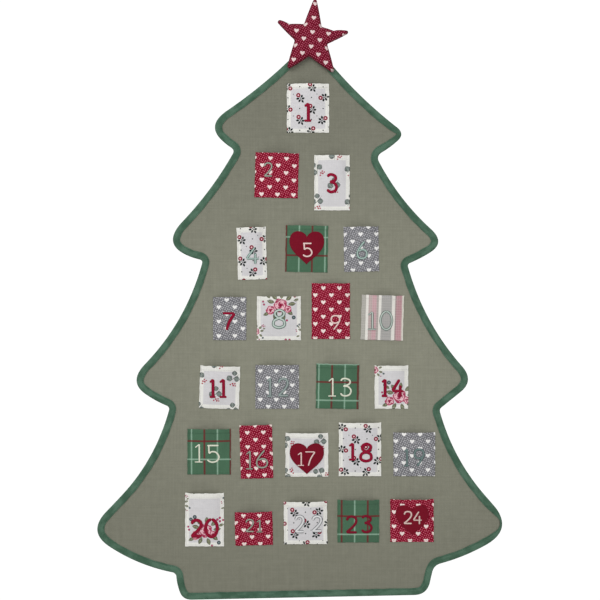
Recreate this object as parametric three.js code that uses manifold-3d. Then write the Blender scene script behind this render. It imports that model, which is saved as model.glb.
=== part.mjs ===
// A fabric Christmas tree for the wall, with one pocket for each of twenty-four days.
// Millimetres, +Z up. The front faces -Y and the wall is the plane y = 0.
// The origin is the inside of the hanging loop's crown, where a nail or hook carries the tree.

import * as THREE from 'three';
import { mergeVertices } from 'three/addons/utils/BufferGeometryUtils.js';
import Module from 'manifold-3d';

const wasm = await Module();
wasm.setup();

// The tree below its loop and star. The tables of places are drawn for one size and stretch with it.
const TREE_WIDTH = 709;
const TREE_HEIGHT = 984;
const DRAWN_WIDTH = 709;
const DRAWN_HEIGHT = 984;

// Room between pieces that lie on each other
const CLEARANCE = 0.3;

// Cloth and felt, each pressed flat
const TAPE_WALL = 1.0;
const BACKING_CLOTH = 0.7;
const FELT_THICKNESS = 2.0;
const PANEL_CLOTH = 0.8;
const POCKET_CLOTH = 1.0;
const PATCH_CLOTH = 0.6;
const STAR_CLOTH = 0.9;

// Edge binding: how far it laps over the panel, and how its folds are rounded
const BINDING_WIDTH = 12.6;
const BINDING_ROUND = 1.6;

// Hanging loop: a tape folded to a teardrop, its two legs side by side in the tree's top
const LOOP_OPENING = 12;
const LOOP_TAPE_WIDTH = 5;
const LOOP_SHOWING = 33;
const LOOP_SEWN_IN = 37;

// Pockets: sewn margin at the sides and the bottom, turned hem at the mouth, room for a gift
const POCKET_MARGIN = 4;
const POCKET_HEM = 9;
const HEM_EXTRA = 0.6;
const HEM_STEP = 0.8;
const POCKET_ROOM = 9;

// Star: its points, the hollows between them, and how far each half swells
const STAR_POINT_RADIUS = 70.5;
const STAR_HOLLOW_RADIUS = 28.5;
const STAR_CORE_RADIUS = 38;
const STAR_POINT_ROUND = 10;
const STAR_HOLLOW_ROUND = 3;
const STAR_FRONT_SWELL = 9;
const STAR_BACK_SWELL = 4;
const STAR_TILT = 5.5;
const STAR_PLACE = [-1, -2];

// How finely curves are drawn
const EDGE_STEPS = 4;
const ROUND_STEPS = 5;

// The hollow corners beside the trunk, where the two lengths of binding meet
const TRUNK_LEFT = corner(-238, -937, 6, -3);
const TRUNK_RIGHT = corner(214, -923, 12, -7);

// The outside edge, from the tree's tip down each side to the trunk: place from the tip, how far
// back from each corner its rounding starts, and how far the edge after it hollows inwards
const LEFT_SIDE = [
  corner(-2, 0, 0, 8),
  corner(-181, -148, 38, -5),
  corner(-135, -196, 8, 8),
  corner(-257, -351, 42, -7),
  corner(-191, -389, 6, 19),
  corner(-321, -598, 38, -5),
  corner(-249, -646, 6, 11),
  corner(-333, -801, 29),
  corner(-392, -862, 46, -12),
  TRUNK_LEFT,
  corner(-225, -984, 15),
];
const RIGHT_SIDE = [
  corner(203, -975, 24, 1),
  TRUNK_RIGHT,
  corner(340, -865, 42, -4),
  corner(315, -814, 14, 12),
  corner(223, -650, 5),
  corner(286, -599, 33, 16),
  corner(167, -396, 5, -3),
  corner(234, -356, 33, 11),
  corner(112, -206, 12, -3),
  corner(163, -167, 18, 9),
];

// Pockets by row: the line that the row is sewn on, and each pocket's middle, its lift off that
// line, its width and height, and its clockwise turn in degrees
const POCKET_ROWS = [
  { line: -166, pockets: [
    { day: 1, middle: -7, lift: 0, width: 74, height: 86, turn: 0, cloth: 'sprig' },
  ] },
  { line: -302, pockets: [
    { day: 2, middle: -63, lift: 22, width: 76, height: 79, turn: 1.7, cloth: 'redHearts' },
    { day: 3, middle: 35, lift: 0, width: 62, height: 97, turn: 0, cloth: 'leaves' },
  ] },
  { line: -409, pockets: [
    { day: 4, middle: -104, lift: -14, width: 51, height: 92, turn: -1.6, cloth: 'sprig' },
    { day: 5, middle: -10, lift: -1, width: 74, height: 82, turn: 1, cloth: 'plaid', heart: [61, 57, 1] },
    { day: 6, middle: 87, lift: 0, width: 61, height: 79, turn: -1, cloth: 'greyHearts' },
  ] },
  { line: -529, pockets: [
    { day: 7, middle: -144, lift: 0, width: 58, height: 76, turn: 0, cloth: 'greyHearts' },
    { day: 8, middle: -58, lift: 0, width: 77, height: 77, turn: 0, cloth: 'roses' },
    { day: 9, middle: 33, lift: 2, width: 67, height: 98, turn: 0, cloth: 'redHearts' },
    { day: 10, middle: 122, lift: 0, width: 74, height: 79, turn: 1.6, cloth: 'stripes' },
  ] },
  { line: -649, pockets: [
    { day: 11, middle: -163, lift: 0, width: 70, height: 75, turn: 2, cloth: 'leaves' },
    { day: 12, middle: -61, lift: 0, width: 76, height: 77, turn: 0, cloth: 'greyHearts' },
    { day: 13, middle: 44, lift: 0, width: 75, height: 79, turn: 1, cloth: 'plaid' },
    { day: 14, middle: 139, lift: 0, width: 59, height: 76, turn: 0, cloth: 'roses' },
  ] },
  { line: -768, pockets: [
    { day: 15, middle: -180, lift: 4, width: 76, height: 80, turn: 0, cloth: 'plaid' },
    { day: 16, middle: -96, lift: -3, width: 57, height: 94, turn: -1.6, cloth: 'redHearts' },
    { day: 17, middle: -9, lift: 0, width: 75, height: 77, turn: 0, cloth: 'leaves', heart: [60, 54, -7] },
    { day: 18, middle: 84, lift: 1, width: 74, height: 94, turn: 0, cloth: 'sprig' },
    { day: 19, middle: 179, lift: 1, width: 73, height: 77, turn: 0, cloth: 'greyHearts' },
  ] },
  { line: -886, pockets: [
    { day: 20, middle: -188, lift: -4, width: 68, height: 94, turn: 0, cloth: 'roses' },
    { day: 21, middle: -101, lift: -2, width: 66, height: 59, turn: -1.5, cloth: 'redHearts' },
    { day: 22, middle: -11, lift: 0, width: 76, height: 75, turn: -0.5, cloth: 'sprig' },
    { day: 23, middle: 81, lift: 3, width: 73, height: 75, turn: 0, cloth: 'plaid' },
    { day: 24, middle: 175, lift: 4, width: 76, height: 75, turn: 0, cloth: 'redHearts', heart: [58, 52, 1] },
  ] },
];

// The main colour of each cloth
const CLOTH_COLOURS = {
  linen: 0x82857a,
  felt: 0xd9d6cc,
  backing: 0x8a8d82,
  binding: 0x4b705a,
  loop: 0x4b705a,
  filling: 0xf0efea,
  redHearts: 0xa52341,
  greyHearts: 0x87878c,
  plaid: 0x4b7055,
  sprig: 0xdcdbdd,
  leaves: 0xd8d9d8,
  roses: 0xdcd9da,
  stripes: 0xb9a9a8,
  darkRed: 0x821426,
};

// Layers from the wall forwards
const BACKING_REAR = -TAPE_WALL - CLEARANCE;
const FELT_REAR = BACKING_REAR - BACKING_CLOTH - CLEARANCE;
const PANEL_REAR = FELT_REAR - FELT_THICKNESS - CLEARANCE;
const PANEL_FRONT = PANEL_REAR - PANEL_CLOTH;
const FRONT_LAP_REAR = PANEL_FRONT - CLEARANCE;
const BINDING_FRONT = FRONT_LAP_REAR - TAPE_WALL;
const POCKET_SEAT = PANEL_FRONT - CLEARANCE;
const STAR_SEAM = BINDING_FRONT - CLEARANCE - STAR_BACK_SWELL - STAR_CLOTH - CLEARANCE / 2;

function corner(x, z, cut, hollow = 0) {
  return { x, z, cut, hollow };
}

// A place in the tables, at the tree's real size
function placed(x, z) {
  return [x * TREE_WIDTH / DRAWN_WIDTH, z * TREE_HEIGHT / DRAWN_HEIGHT];
}

// Where the line through p along u crosses the line through q along v
function crossing(p, u, q, v) {
  const between = q.clone().sub(p);
  const share = between.cross(v) / u.cross(v);
  return p.clone().addScaledVector(u, share);
}

// A closed outline through the corners: each edge is a shallow curve, each corner a rounded one
function roundedOutline(corners, edgeSteps, roundSteps) {
  const edges = corners.map((from, i) => {
    const to = corners[(i + 1) % corners.length];
    const start = new THREE.Vector2(from.x, from.z);
    const end = new THREE.Vector2(to.x, to.z);
    const along = end.clone().sub(start);
    const inwards = new THREE.Vector2(-along.y, along.x).normalize();
    const middle = start.clone().lerp(end, 0.5).addScaledVector(inwards, 2 * from.hollow);
    const curve = new THREE.QuadraticBezierCurve(start, middle, end);
    const first = from.cut / along.length();
    const last = 1 - to.cut / along.length();
    const steps = Array.from({ length: edgeSteps + 1 }, (_, k) => first + (last - first) * k / edgeSteps);
    return {
      points: steps.map((t) => curve.getPoint(t)),
      leaves: curve.getTangent(last),
      starts: curve.getTangent(first),
    };
  });
  return edges.flatMap((edge, i) => {
    const next = edges[(i + 1) % edges.length];
    const cut = corners[(i + 1) % corners.length].cut;
    const end = edge.points.at(-1);
    if (cut === 0) {
      return edge.points.slice(0, -1);
    }
    const control = crossing(end, edge.leaves, next.points[0], next.starts);
    const round = new THREE.QuadraticBezierCurve(end, control, next.points[0]);
    return [...edge.points.slice(0, -1), ...round.getPoints(roundSteps).slice(0, -1)];
  });
}

// The outline moved inwards by a distance. Where that is more than a corner's rounding it leaves the
// pointed inner corner that a folded tape has there.
function inset(outline, distance) {
  const section = new wasm.CrossSection([outline.map((point) => [point.x, point.y])]);
  const [polygon] = section.offset(-distance, 'Miter').toPolygons();
  return polygon.map(([x, z]) => new THREE.Vector2(x, z));
}

// A flat plate of an outline in X and Z, from its rear towards the front
function plate(outline, rear, thickness, bevel = 0) {
  const geometry = new THREE.ExtrudeGeometry(new THREE.Shape(outline), {
    depth: thickness - 2 * bevel,
    bevelEnabled: bevel > 0,
    bevelThickness: bevel,
    bevelSize: bevel,
    bevelOffset: -bevel,
    bevelSegments: 2,
  });
  geometry.translate(0, 0, bevel);
  geometry.rotateX(Math.PI / 2);
  geometry.translate(0, rear, 0);
  return geometry;
}

function block(width, depth, height, x, y, z) {
  const geometry = new THREE.BoxGeometry(width, depth, height);
  geometry.translate(x, y, z);
  return geometry;
}

function solid(geometry) {
  const bare = geometry.clone();
  bare.deleteAttribute('normal');
  bare.deleteAttribute('uv');
  const merged = mergeVertices(bare, 1e-4);
  return new wasm.Manifold(new wasm.Mesh({
    numProp: 3,
    vertProperties: new Float32Array(merged.attributes.position.array),
    triVerts: new Uint32Array(merged.index.array),
  }));
}

function geometryOf(manifold) {
  const mesh = manifold.getMesh();
  const geometry = new THREE.BufferGeometry();
  geometry.setAttribute('position', new THREE.BufferAttribute(mesh.vertProperties, 3));
  geometry.setIndex(new THREE.BufferAttribute(mesh.triVerts, 1));
  geometry.computeVertexNormals();
  return geometry;
}

// Triangles given as points, wound anticlockwise seen from outside
function triangles(faces) {
  const geometry = new THREE.BufferGeometry().setFromPoints(faces.flat());
  geometry.computeVertexNormals();
  return geometry;
}

// A rectangular sheet between a front and a rear grid of points, rows upwards, columns to the right
function gridSheet(front, rear) {
  const faces = [];
  const quad = (a, b, c, d) => faces.push([a, b, c], [a, c, d]);
  const rows = front.length - 1;
  const columns = front[0].length - 1;
  for (let i = 0; i < rows; i += 1) {
    for (let j = 0; j < columns; j += 1) {
      quad(front[i][j], front[i][j + 1], front[i + 1][j + 1], front[i + 1][j]);
      quad(rear[i][j], rear[i + 1][j], rear[i + 1][j + 1], rear[i][j + 1]);
    }
  }
  for (let j = 0; j < columns; j += 1) {
    quad(front[0][j + 1], front[0][j], rear[0][j], rear[0][j + 1]);
    quad(front[rows][j], front[rows][j + 1], rear[rows][j + 1], rear[rows][j]);
  }
  for (let i = 0; i < rows; i += 1) {
    quad(front[i][0], front[i + 1][0], rear[i + 1][0], rear[i][0]);
    quad(front[i + 1][columns], front[i][columns], rear[i][columns], rear[i + 1][columns]);
  }
  return triangles(faces);
}

// A round-grid sheet: rings are shares of the way out to the outline, and front and rear give y for
// a share and a point. With a core, the inner rings draw in to a circle of that radius.
function ringSheet(outline, rings, front, rear, core = 0) {
  const faces = [];
  const quad = (a, b, c, d) => faces.push([a, b, c], [a, c, d]);
  const place = (surface, share, point) => {
    const drawn = core ? share + (1 - share) * core / point.length() : 1;
    const x = point.x * share * drawn;
    const z = point.y * share * drawn;
    return new THREE.Vector3(x, surface(share, x, z), z);
  };
  const ringsOf = (surface) => rings.map((share) => outline.map((point) => place(surface, share, point)));
  const fronts = ringsOf(front);
  const rears = ringsOf(rear);
  const frontMiddle = place(front, 0, outline[0]);
  const rearMiddle = place(rear, 0, outline[0]);
  const last = rings.length - 1;
  outline.forEach((_, j) => {
    const k = (j + 1) % outline.length;
    faces.push([frontMiddle, fronts[0][j], fronts[0][k]], [rearMiddle, rears[0][k], rears[0][j]]);
    for (let i = 0; i < last; i += 1) {
      quad(fronts[i][j], fronts[i + 1][j], fronts[i + 1][k], fronts[i][k]);
      quad(rears[i][j], rears[i][k], rears[i + 1][k], rears[i + 1][j]);
    }
    quad(fronts[last][j], rears[last][j], rears[last][k], fronts[last][k]);
  });
  return triangles(faces);
}

function piece(name, geometry, colour, roughness = 0.9) {
  const material = new THREE.MeshStandardMaterial({ color: colour, roughness, metalness: 0 });
  const mesh = new THREE.Mesh(geometry, material);
  mesh.name = name;
  return mesh;
}

// The tape's legs inside the tree, with room around them
function loopSlot(room) {
  const width = 2 * LOOP_TAPE_WIDTH + 2 * room;
  const depth = FELT_THICKNESS + 2 * room;
  const height = LOOP_SEWN_IN + LOOP_SHOWING / 2 + 2 * room;
  const middle = FELT_REAR - FELT_THICKNESS / 2;
  return block(width, depth, height, 0, middle, (LOOP_SHOWING / 2 - LOOP_SEWN_IN) / 2);
}

// Tape folded over the edge all round: both laps, the fold, and a slit for the loop at the tip
function edgeBinding(outline) {
  const whole = solid(plate(outline, 0, -BINDING_FRONT, BINDING_ROUND));
  const fold = solid(plate(inset(outline, TAPE_WALL), -TAPE_WALL, -FRONT_LAP_REAR - TAPE_WALL));
  const window = solid(plate(inset(outline, BINDING_WIDTH), TAPE_WALL, 2 * TAPE_WALL - BINDING_FRONT));
  const slit = solid(loopSlot(CLEARANCE));
  return whole.subtract(fold).subtract(window).subtract(slit);
}

// The tape goes on in two lengths, round the tiers and round the trunk. They meet at the hollow
// corners beside the trunk, on the line through both.
function bindingLengths(outline) {
  const [left, right] = [TRUNK_LEFT, TRUNK_RIGHT].map(({ x, z }) => new THREE.Vector2(...placed(x, z)));
  const tape = edgeBinding(outline);
  const along = right.clone().sub(left).normalize();
  const upwards = [-along.y, 0, along.x];
  const downwards = [along.y, 0, -along.x];
  const height = along.cross(left);
  const room = CLEARANCE / 2;
  return [
    geometryOf(tape.trimByPlane(upwards, height + room)),
    geometryOf(tape.trimByPlane(downwards, room - height)),
  ];
}

// The felt stops short of the loop's legs
function interlining(outline) {
  const felt = solid(plate(outline, FELT_REAR, FELT_THICKNESS));
  return geometryOf(felt.subtract(solid(loopSlot(CLEARANCE))));
}

function hangingLoop() {
  const inside = LOOP_OPENING / 2;
  const outside = inside + LOOP_TAPE_WIDTH;
  const bottom = -LOOP_SHOWING - LOOP_SEWN_IN;
  const legsMeet = -LOOP_SHOWING * 0.86;
  const shape = new THREE.Shape();
  shape.moveTo(-LOOP_TAPE_WIDTH, bottom);
  shape.lineTo(LOOP_TAPE_WIDTH, bottom);
  shape.lineTo(LOOP_TAPE_WIDTH, legsMeet);
  shape.absarc(0, -inside, outside, 0, Math.PI, false);
  shape.lineTo(-LOOP_TAPE_WIDTH, legsMeet);
  const opening = new THREE.Path();
  opening.moveTo(0, legsMeet);
  opening.lineTo(-inside, -inside);
  opening.absarc(0, -inside, inside, Math.PI, 0, true);
  shape.holes.push(opening);
  const geometry = new THREE.ExtrudeGeometry(shape, {
    depth: FELT_THICKNESS,
    bevelEnabled: false,
    curveSegments: 10,
  });
  geometry.rotateX(Math.PI / 2);
  geometry.translate(0, FELT_REAR, 0);
  return geometry;
}

// How far a pocket's cloth stands off the panel: nothing at the sewn edges, most at the mouth
function pocketRoom(pocket, x, z) {
  const across = Math.min(1, Math.abs(x) / (pocket.width / 2 - POCKET_MARGIN));
  const up = THREE.MathUtils.clamp((z - POCKET_MARGIN) / (pocket.height - POCKET_MARGIN), 0, 1);
  return POCKET_ROOM * (1 - across ** 2.5) * (1 - (1 - up) ** 2);
}

function pocketFront(pocket, x, z) {
  const hem = THREE.MathUtils.clamp((z - pocket.height + POCKET_HEM) / HEM_STEP, 0, 1);
  return POCKET_SEAT - POCKET_CLOTH - hem * HEM_EXTRA - pocketRoom(pocket, x, z);
}

// One cloth, sewn flat at three edges and open at the top, with a double hem at its mouth
function pocketCloth(pocket) {
  const half = pocket.width / 2;
  const inner = half - POCKET_MARGIN;
  const hemLine = pocket.height - POCKET_HEM;
  const columns = [-half, ...[-1, -0.8, -0.5, 0, 0.5, 0.8, 1].map((share) => share * inner), half];
  const rise = hemLine - POCKET_MARGIN;
  const levels = [0, ...[0, 0.25, 0.6, 1].map((share) => POCKET_MARGIN + share * rise)];
  levels.push(hemLine + HEM_STEP, pocket.height);
  const gridOf = (depth) => levels.map((z) => columns.map((x) => new THREE.Vector3(x, depth(x, z), z)));
  return gridSheet(
    gridOf((x, z) => pocketFront(pocket, x, z)),
    gridOf((x, z) => POCKET_SEAT - pocketRoom(pocket, x, z)),
  );
}

// A heart of a width and a height about its own middle
function heartOutline(width, height, steps) {
  const half = width / 2;
  const shape = new THREE.Shape();
  shape.moveTo(0, 0.36 * height);
  shape.bezierCurveTo(-0.15 * half, 0.56 * height, -half, 0.62 * height, -half, 0.2 * height);
  shape.bezierCurveTo(-half, -0.1 * height, -0.35 * half, -0.3 * height, 0, -0.5 * height);
  shape.bezierCurveTo(0.35 * half, -0.3 * height, half, -0.1 * height, half, 0.2 * height);
  shape.bezierCurveTo(half, 0.62 * height, 0.15 * half, 0.56 * height, 0, 0.36 * height);
  return shape.getPoints(steps).slice(0, -1);
}

// A heart sewn on the pocket, lying on its curve. The pocket's heart holds its width, its height and
// how far it sits above the pocket's middle.
function heartPatch(pocket) {
  const [width, height, lift] = pocket.heart;
  const middle = pocket.height / 2 + lift;
  const rear = (share, x, z) => pocketFront(pocket, x, z + middle) - CLEARANCE;
  const front = (share, x, z) => rear(share, x, z) - PATCH_CLOTH;
  const geometry = ringSheet(heartOutline(width, height, 6), [0.3, 0.56, 0.8, 1], front, rear);
  geometry.translate(0, 0, middle);
  return geometry;
}

// Five blunt points and five hollows about the star's middle
function starOutline() {
  const corners = Array.from({ length: 10 }, (_, i) => {
    const angle = Math.PI / 2 + i * Math.PI / 5;
    const isPoint = i % 2 === 0;
    const radius = isPoint ? STAR_POINT_RADIUS : STAR_HOLLOW_RADIUS;
    const cut = isPoint ? STAR_POINT_ROUND : STAR_HOLLOW_ROUND;
    return corner(radius * Math.cos(angle), radius * Math.sin(angle), cut);
  });
  return roundedOutline(corners, 1, 3);
}

// The stuffed star: it swells from its seam to its middle, and lies flat where it meets the tree
function starPieces() {
  const outline = starOutline();
  const rings = [0.3, 0.6, 0.85, 1];
  const seam = CLEARANCE / 2;
  const crown = (share) => STAR_FRONT_SWELL * Math.sqrt(1 - share ** 2);
  const bed = (share) => STAR_BACK_SWELL * Math.min(1, 1.5 * (1 - share)) ** 0.7;
  const frontInside = (share) => STAR_SEAM - seam - crown(share);
  const backInside = (share) => STAR_SEAM + seam + bed(share);
  const frontOutside = (share) => frontInside(share) - STAR_CLOTH;
  const backOutside = (share) => backInside(share) + STAR_CLOTH;
  const fillingFront = (share) => frontInside(share) + CLEARANCE;
  const fillingRear = (share) => backInside(share) - CLEARANCE;
  const fillingRings = rings.slice(0, -1);
  const half = (front, rear, shares) => ringSheet(outline, shares, front, rear, STAR_CORE_RADIUS);
  const pieces = [
    piece('star_front', half(frontOutside, frontInside, rings), CLOTH_COLOURS.redHearts),
    piece('star_back', half(backInside, backOutside, rings), CLOTH_COLOURS.redHearts),
    piece('star_filling', half(fillingFront, fillingRear, fillingRings), CLOTH_COLOURS.filling),
  ];
  pieces.forEach((mesh) => {
    mesh.rotation.y = THREE.MathUtils.degToRad(STAR_TILT);
    mesh.position.set(STAR_PLACE[0], 0, STAR_PLACE[1]);
  });
  return pieces;
}

function pocketPieces() {
  return POCKET_ROWS.flatMap((row) => row.pockets.flatMap((pocket) => {
    const day = String(pocket.day).padStart(2, '0');
    const pieces = [piece(`pocket_${day}`, pocketCloth(pocket), CLOTH_COLOURS[pocket.cloth])];
    if (pocket.heart) {
      pieces.push(piece(`heart_patch_${day}`, heartPatch(pocket), CLOTH_COLOURS.darkRed));
    }
    pieces.forEach((mesh) => {
      const [x, z] = placed(pocket.middle, row.line + pocket.lift);
      mesh.rotation.y = THREE.MathUtils.degToRad(pocket.turn);
      mesh.position.set(x, 0, z);
    });
    return pieces;
  }));
}

// Everything below the loop, measured from the tree's tip. The roundings and hollows of the outline
// follow the smaller of its two stretches, so they always leave room on its sides.
function tree() {
  const stretch = Math.min(TREE_WIDTH / DRAWN_WIDTH, TREE_HEIGHT / DRAWN_HEIGHT);
  const corners = [...LEFT_SIDE, ...RIGHT_SIDE].map(({ x, z, cut, hollow }) => {
    return corner(...placed(x, z), cut * stretch, hollow * stretch);
  });
  const outline = roundedOutline(corners, EDGE_STEPS, ROUND_STEPS);
  const within = inset(outline, TAPE_WALL + CLEARANCE);
  const [tiers, trunk] = bindingLengths(outline);
  const group = new THREE.Group();
  group.add(
    piece('backing_panel', plate(within, BACKING_REAR, BACKING_CLOTH), CLOTH_COLOURS.backing),
    piece('interlining', interlining(within), CLOTH_COLOURS.felt),
    piece('front_panel', plate(within, PANEL_REAR, PANEL_CLOTH), CLOTH_COLOURS.linen),
    piece('edge_binding', tiers, CLOTH_COLOURS.binding),
    piece('trunk_binding', trunk, CLOTH_COLOURS.binding),
    ...starPieces(),
    ...pocketPieces(),
  );
  group.position.z = -LOOP_SHOWING;
  return group;
}

const calendar = new THREE.Group();
calendar.add(piece('hanging_loop', hangingLoop(), CLOTH_COLOURS.loop), tree());

export default calendar;
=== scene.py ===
"""The looks of a fabric tree calendar for the wall. Metres, +Z up, the front faces -Y, the wall is y = 0."""

import math

import bpy
import numpy as np
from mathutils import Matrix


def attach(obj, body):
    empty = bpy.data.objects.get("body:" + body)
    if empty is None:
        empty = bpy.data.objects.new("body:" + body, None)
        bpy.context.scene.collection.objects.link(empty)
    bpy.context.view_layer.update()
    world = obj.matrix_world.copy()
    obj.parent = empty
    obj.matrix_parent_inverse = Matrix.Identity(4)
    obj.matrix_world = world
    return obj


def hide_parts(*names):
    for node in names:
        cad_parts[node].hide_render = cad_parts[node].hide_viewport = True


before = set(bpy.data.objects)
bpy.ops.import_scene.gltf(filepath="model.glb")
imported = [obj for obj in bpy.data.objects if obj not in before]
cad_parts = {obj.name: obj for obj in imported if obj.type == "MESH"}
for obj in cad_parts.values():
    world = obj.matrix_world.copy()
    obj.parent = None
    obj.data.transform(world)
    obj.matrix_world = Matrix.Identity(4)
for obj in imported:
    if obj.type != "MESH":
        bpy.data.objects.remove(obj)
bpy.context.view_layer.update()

# Sizes in millimetres, as in the CAD. The tree hangs TIP below the inside of its loop.
TIP = -33.0
PANEL_REAR, PANEL_FRONT = -4.6, -5.4
# How far the sheets stop short of the outline, and their faces' depths
SHEET_INSET = 1.6
FELT_FRONT, FELT_REAR, FELT_TOP = -4.25, -2.35, -40.0
BACKING_FRONT, BACKING_REAR = -1.95, -1.3
BINDING_WIDTH = 12.6
# The binding's seam: its depth from the outer fold, and how far it dips
LAP_SEAM, LAP_DIP = 10.6, -6.55
POCKET_SEAT = -5.7
POCKET_CLOTH = 1.0
POCKET_MARGIN = 4.0
POCKET_HEM = 9.0
POCKET_ROOM = 9.0
HEM_EXTRA = 0.6
HEM_STEP = 0.8
HEM_SEAM = 1.6
SEAM_INSET = 2.4
TURNED_CLOTH = 0.28
TURNED_WIDTH = 7.2
STAR_SEAM = -12.05
# The photograph's scale, and the pixel that lies on the tree's middle line at the height of its loop's inside
PHOTO_PIXEL = 1.75
PHOTO_MIDDLE = 312
PHOTO_TOP = 19

# Corners of the outline from the tip round by the left side, the trunk and the right side: x, z, how
# far back the rounding starts, how far the edge after the corner hollows inwards. Eight are notches.
CORNERS = [
    (-2, 0, 2, 8), (-181, -148, 38, -5), (-135, -196, 8, 8), (-257, -351, 42, -7), (-191, -389, 6, 19),
    (-321, -598, 38, -5), (-249, -646, 6, 11), (-333, -801, 29, 0), (-392, -862, 46, -12), (-238, -937, 6, -3),
    (-225, -984, 15, 0), (203, -975, 24, 1), (214, -923, 12, -7), (340, -865, 42, -4), (315, -814, 14, 12),
    (223, -650, 5, 0), (286, -599, 33, 16), (167, -396, 5, -3), (234, -356, 33, 11), (112, -206, 12, -3),
    (163, -167, 18, 9),
]
NOTCHES = [CORNERS[i][:2] for i in (2, 4, 6, 9, 12, 15, 17, 19)]

# Each pocket: the line its row is sewn on plus its lift, its middle, width, height, clockwise turn in
# degrees, cloth, and where the cloth's pattern starts in it
POCKETS = {
    1: (-166, -7, 74, 86, 0, "sprig", (6, 4)),
    2: (-280, -63, 76, 79, 1.7, "red_hearts", (0, 0)),
    3: (-302, 35, 62, 97, 0, "leaves", (4, 44)),
    4: (-423, -104, 51, 92, -1.6, "sprig", (2, 14)),
    5: (-410, -10, 74, 82, 1, "plaid", (0, 0)),
    6: (-409, 87, 61, 79, -1, "grey_hearts", (0, 0)),
    7: (-529, -144, 58, 76, 0, "grey_hearts", (0, 0)),
    8: (-529, -58, 77, 77, 0, "roses", (3, 61)),
    9: (-527, 33, 67, 98, 0, "red_hearts", (0, 0)),
    10: (-529, 122, 74, 79, 1.6, "stripes", (0, 0)),
    11: (-649, -163, 70, 75, 2, "leaves", (-6, 26)),
    12: (-649, -61, 76, 77, 0, "grey_hearts", (0, 0)),
    13: (-649, 44, 75, 79, 1, "plaid", (0, 0)),
    14: (-649, 139, 59, 76, 0, "roses", (14, 22)),
    15: (-764, -180, 76, 80, 0, "plaid", (0, 0)),
    16: (-771, -96, 57, 94, -1.6, "red_hearts", (0, 0)),
    17: (-768, -9, 75, 77, 0, "leaves", (24, 62)),
    18: (-767, 84, 74, 94, 0, "sprig", (12, 9)),
    19: (-767, 179, 73, 77, 0, "grey_hearts", (0, 0)),
    20: (-890, -188, 68, 94, 0, "roses", (2, 28)),
    21: (-888, -101, 66, 59, -1.5, "red_hearts", (0, 0)),
    22: (-886, -11, 76, 75, -0.5, "sprig", (0, 0)),
    23: (-883, 81, 73, 75, 0, "plaid", (0, 0)),
    24: (-882, 175, 76, 75, 0, "red_hearts", (0, 0)),
}
# Hearts sewn on pockets: width, height, lift above the pocket's middle
HEARTS = {5: (61, 57, 1), 17: (60, 54, -7), 24: (58, 52, 1)}
# A pixel of the photograph that each regular print has a heart or a crossing of red lines on
PRINT_MARKS = {
    2: (286.1, 173.5), 5: (312, 255.6), 6: (360.4, 234.6), 7: (218.9, 307.4), 9: (331.3, 309.8),
    12: (276.3, 371), 13: (331.8, 382), 15: (204.6, 440.9), 16: (255.6, 439.7), 19: (411.8, 441.4),
    21: (252.1, 537.1), 23: (367.6, 515.9), 24: (386, 505),
}
# Embroidered numbers: thread, stroke width, and each digit's box in the photograph's pixels
NUMBERS = {
    1: ("crimson", 5.7, [("1", 303.4, 312.2, 102, 122.2)]),
    2: ("grey_mint", 3.6, [("2", 263.4, 273.2, 162.2, 177.2)]),
    3: ("crimson", 5.1, [("3", 325.8, 337.9, 173.4, 193.6)]),
    4: ("pale_teal", 4.2, [("4", 245.4, 260.2, 246.8, 265.2)]),
    5: ("pale_pink", 2.7, [("5", 302.2, 312.6, 242.8, 257.3)]),
    6: ("pale_teal", 3.8, [("6", 356.2, 367.8, 240.6, 259.6)]),
    7: ("crimson", 5.1, [("7", 221.4, 236.2, 312, 331.6)]),
    8: ("mint", 4.9, [("8", 271.9, 286.1, 308.6, 329)]),
    9: ("pale_pink", 2.6, [("9", 330.4, 340.6, 314.9, 330.3)]),
    10: ("teal", 3.9, [("1", 367.4, 376, 310.8, 330), ("0", 379.3, 393, 310.3, 330.7)]),
    11: ("crimson", 5.4, [("1", 208.8, 216.6, 377.6, 398), ("1", 218.8, 227.5, 377.6, 398)]),
    12: ("faint_mint", 4.8, [("1", 266.2, 273.4, 376.8, 397.2), ("2", 277.2, 289.6, 377.2, 396.8)]),
    13: ("cream", 3.0, [("1", 328.2, 336, 377, 396.4), ("3", 339.6, 351.8, 377.5, 396.7)]),
    14: ("crimson", 5.4, [("1", 380.6, 388.4, 377.6, 397.2), ("4", 390.6, 404.9, 377.8, 398)]),
    15: ("cream", 2.9, [("1", 194.9, 202.8, 443.2, 462.3), ("5", 206.6, 219.9, 444.4, 462.8)]),
    16: ("grey_mint", 3.7, [("1", 245.7, 253.3, 449.8, 469.4), ("6", 255.7, 268.4, 449, 468.6)]),
    17: ("pale_pink", 2.4, [("1", 297.5, 304, 451.4, 465.6), ("7", 304.6, 315.6, 451, 466.2)]),
    18: ("crimson", 5.2, [("1", 348, 356.2, 441.4, 460.6), ("8", 359, 372.8, 442.2, 462.4)]),
    19: ("dark_teal", 4.0, [("1", 403.4, 409.6, 447.6, 466.4), ("9", 413.2, 424.8, 448, 467)]),
    20: ("crimson", 5.7, [("2", 190, 203.6, 518.2, 537.6), ("0", 204.2, 219, 517.4, 538.2)]),
    21: ("grey_mint", 3.3, [("2", 245, 254.8, 518, 532), ("1", 256.2, 262.8, 518.4, 532.2)]),
    22: ("white", 5.4, [("2", 293.9, 305.4, 514.2, 532.9), ("2", 311, 323.2, 514.4, 532.2)]),
    23: ("dark_crimson", 4.4, [("2", 345.2, 358, 514.8, 533.4), ("3", 360.6, 372.6, 514.4, 533.2)]),
    24: ("dull_cream", 2.8, [("2", 403, 412.4, 510.2, 523.8), ("4", 412.4, 422.4, 510.2, 524.6)]),
}
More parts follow.
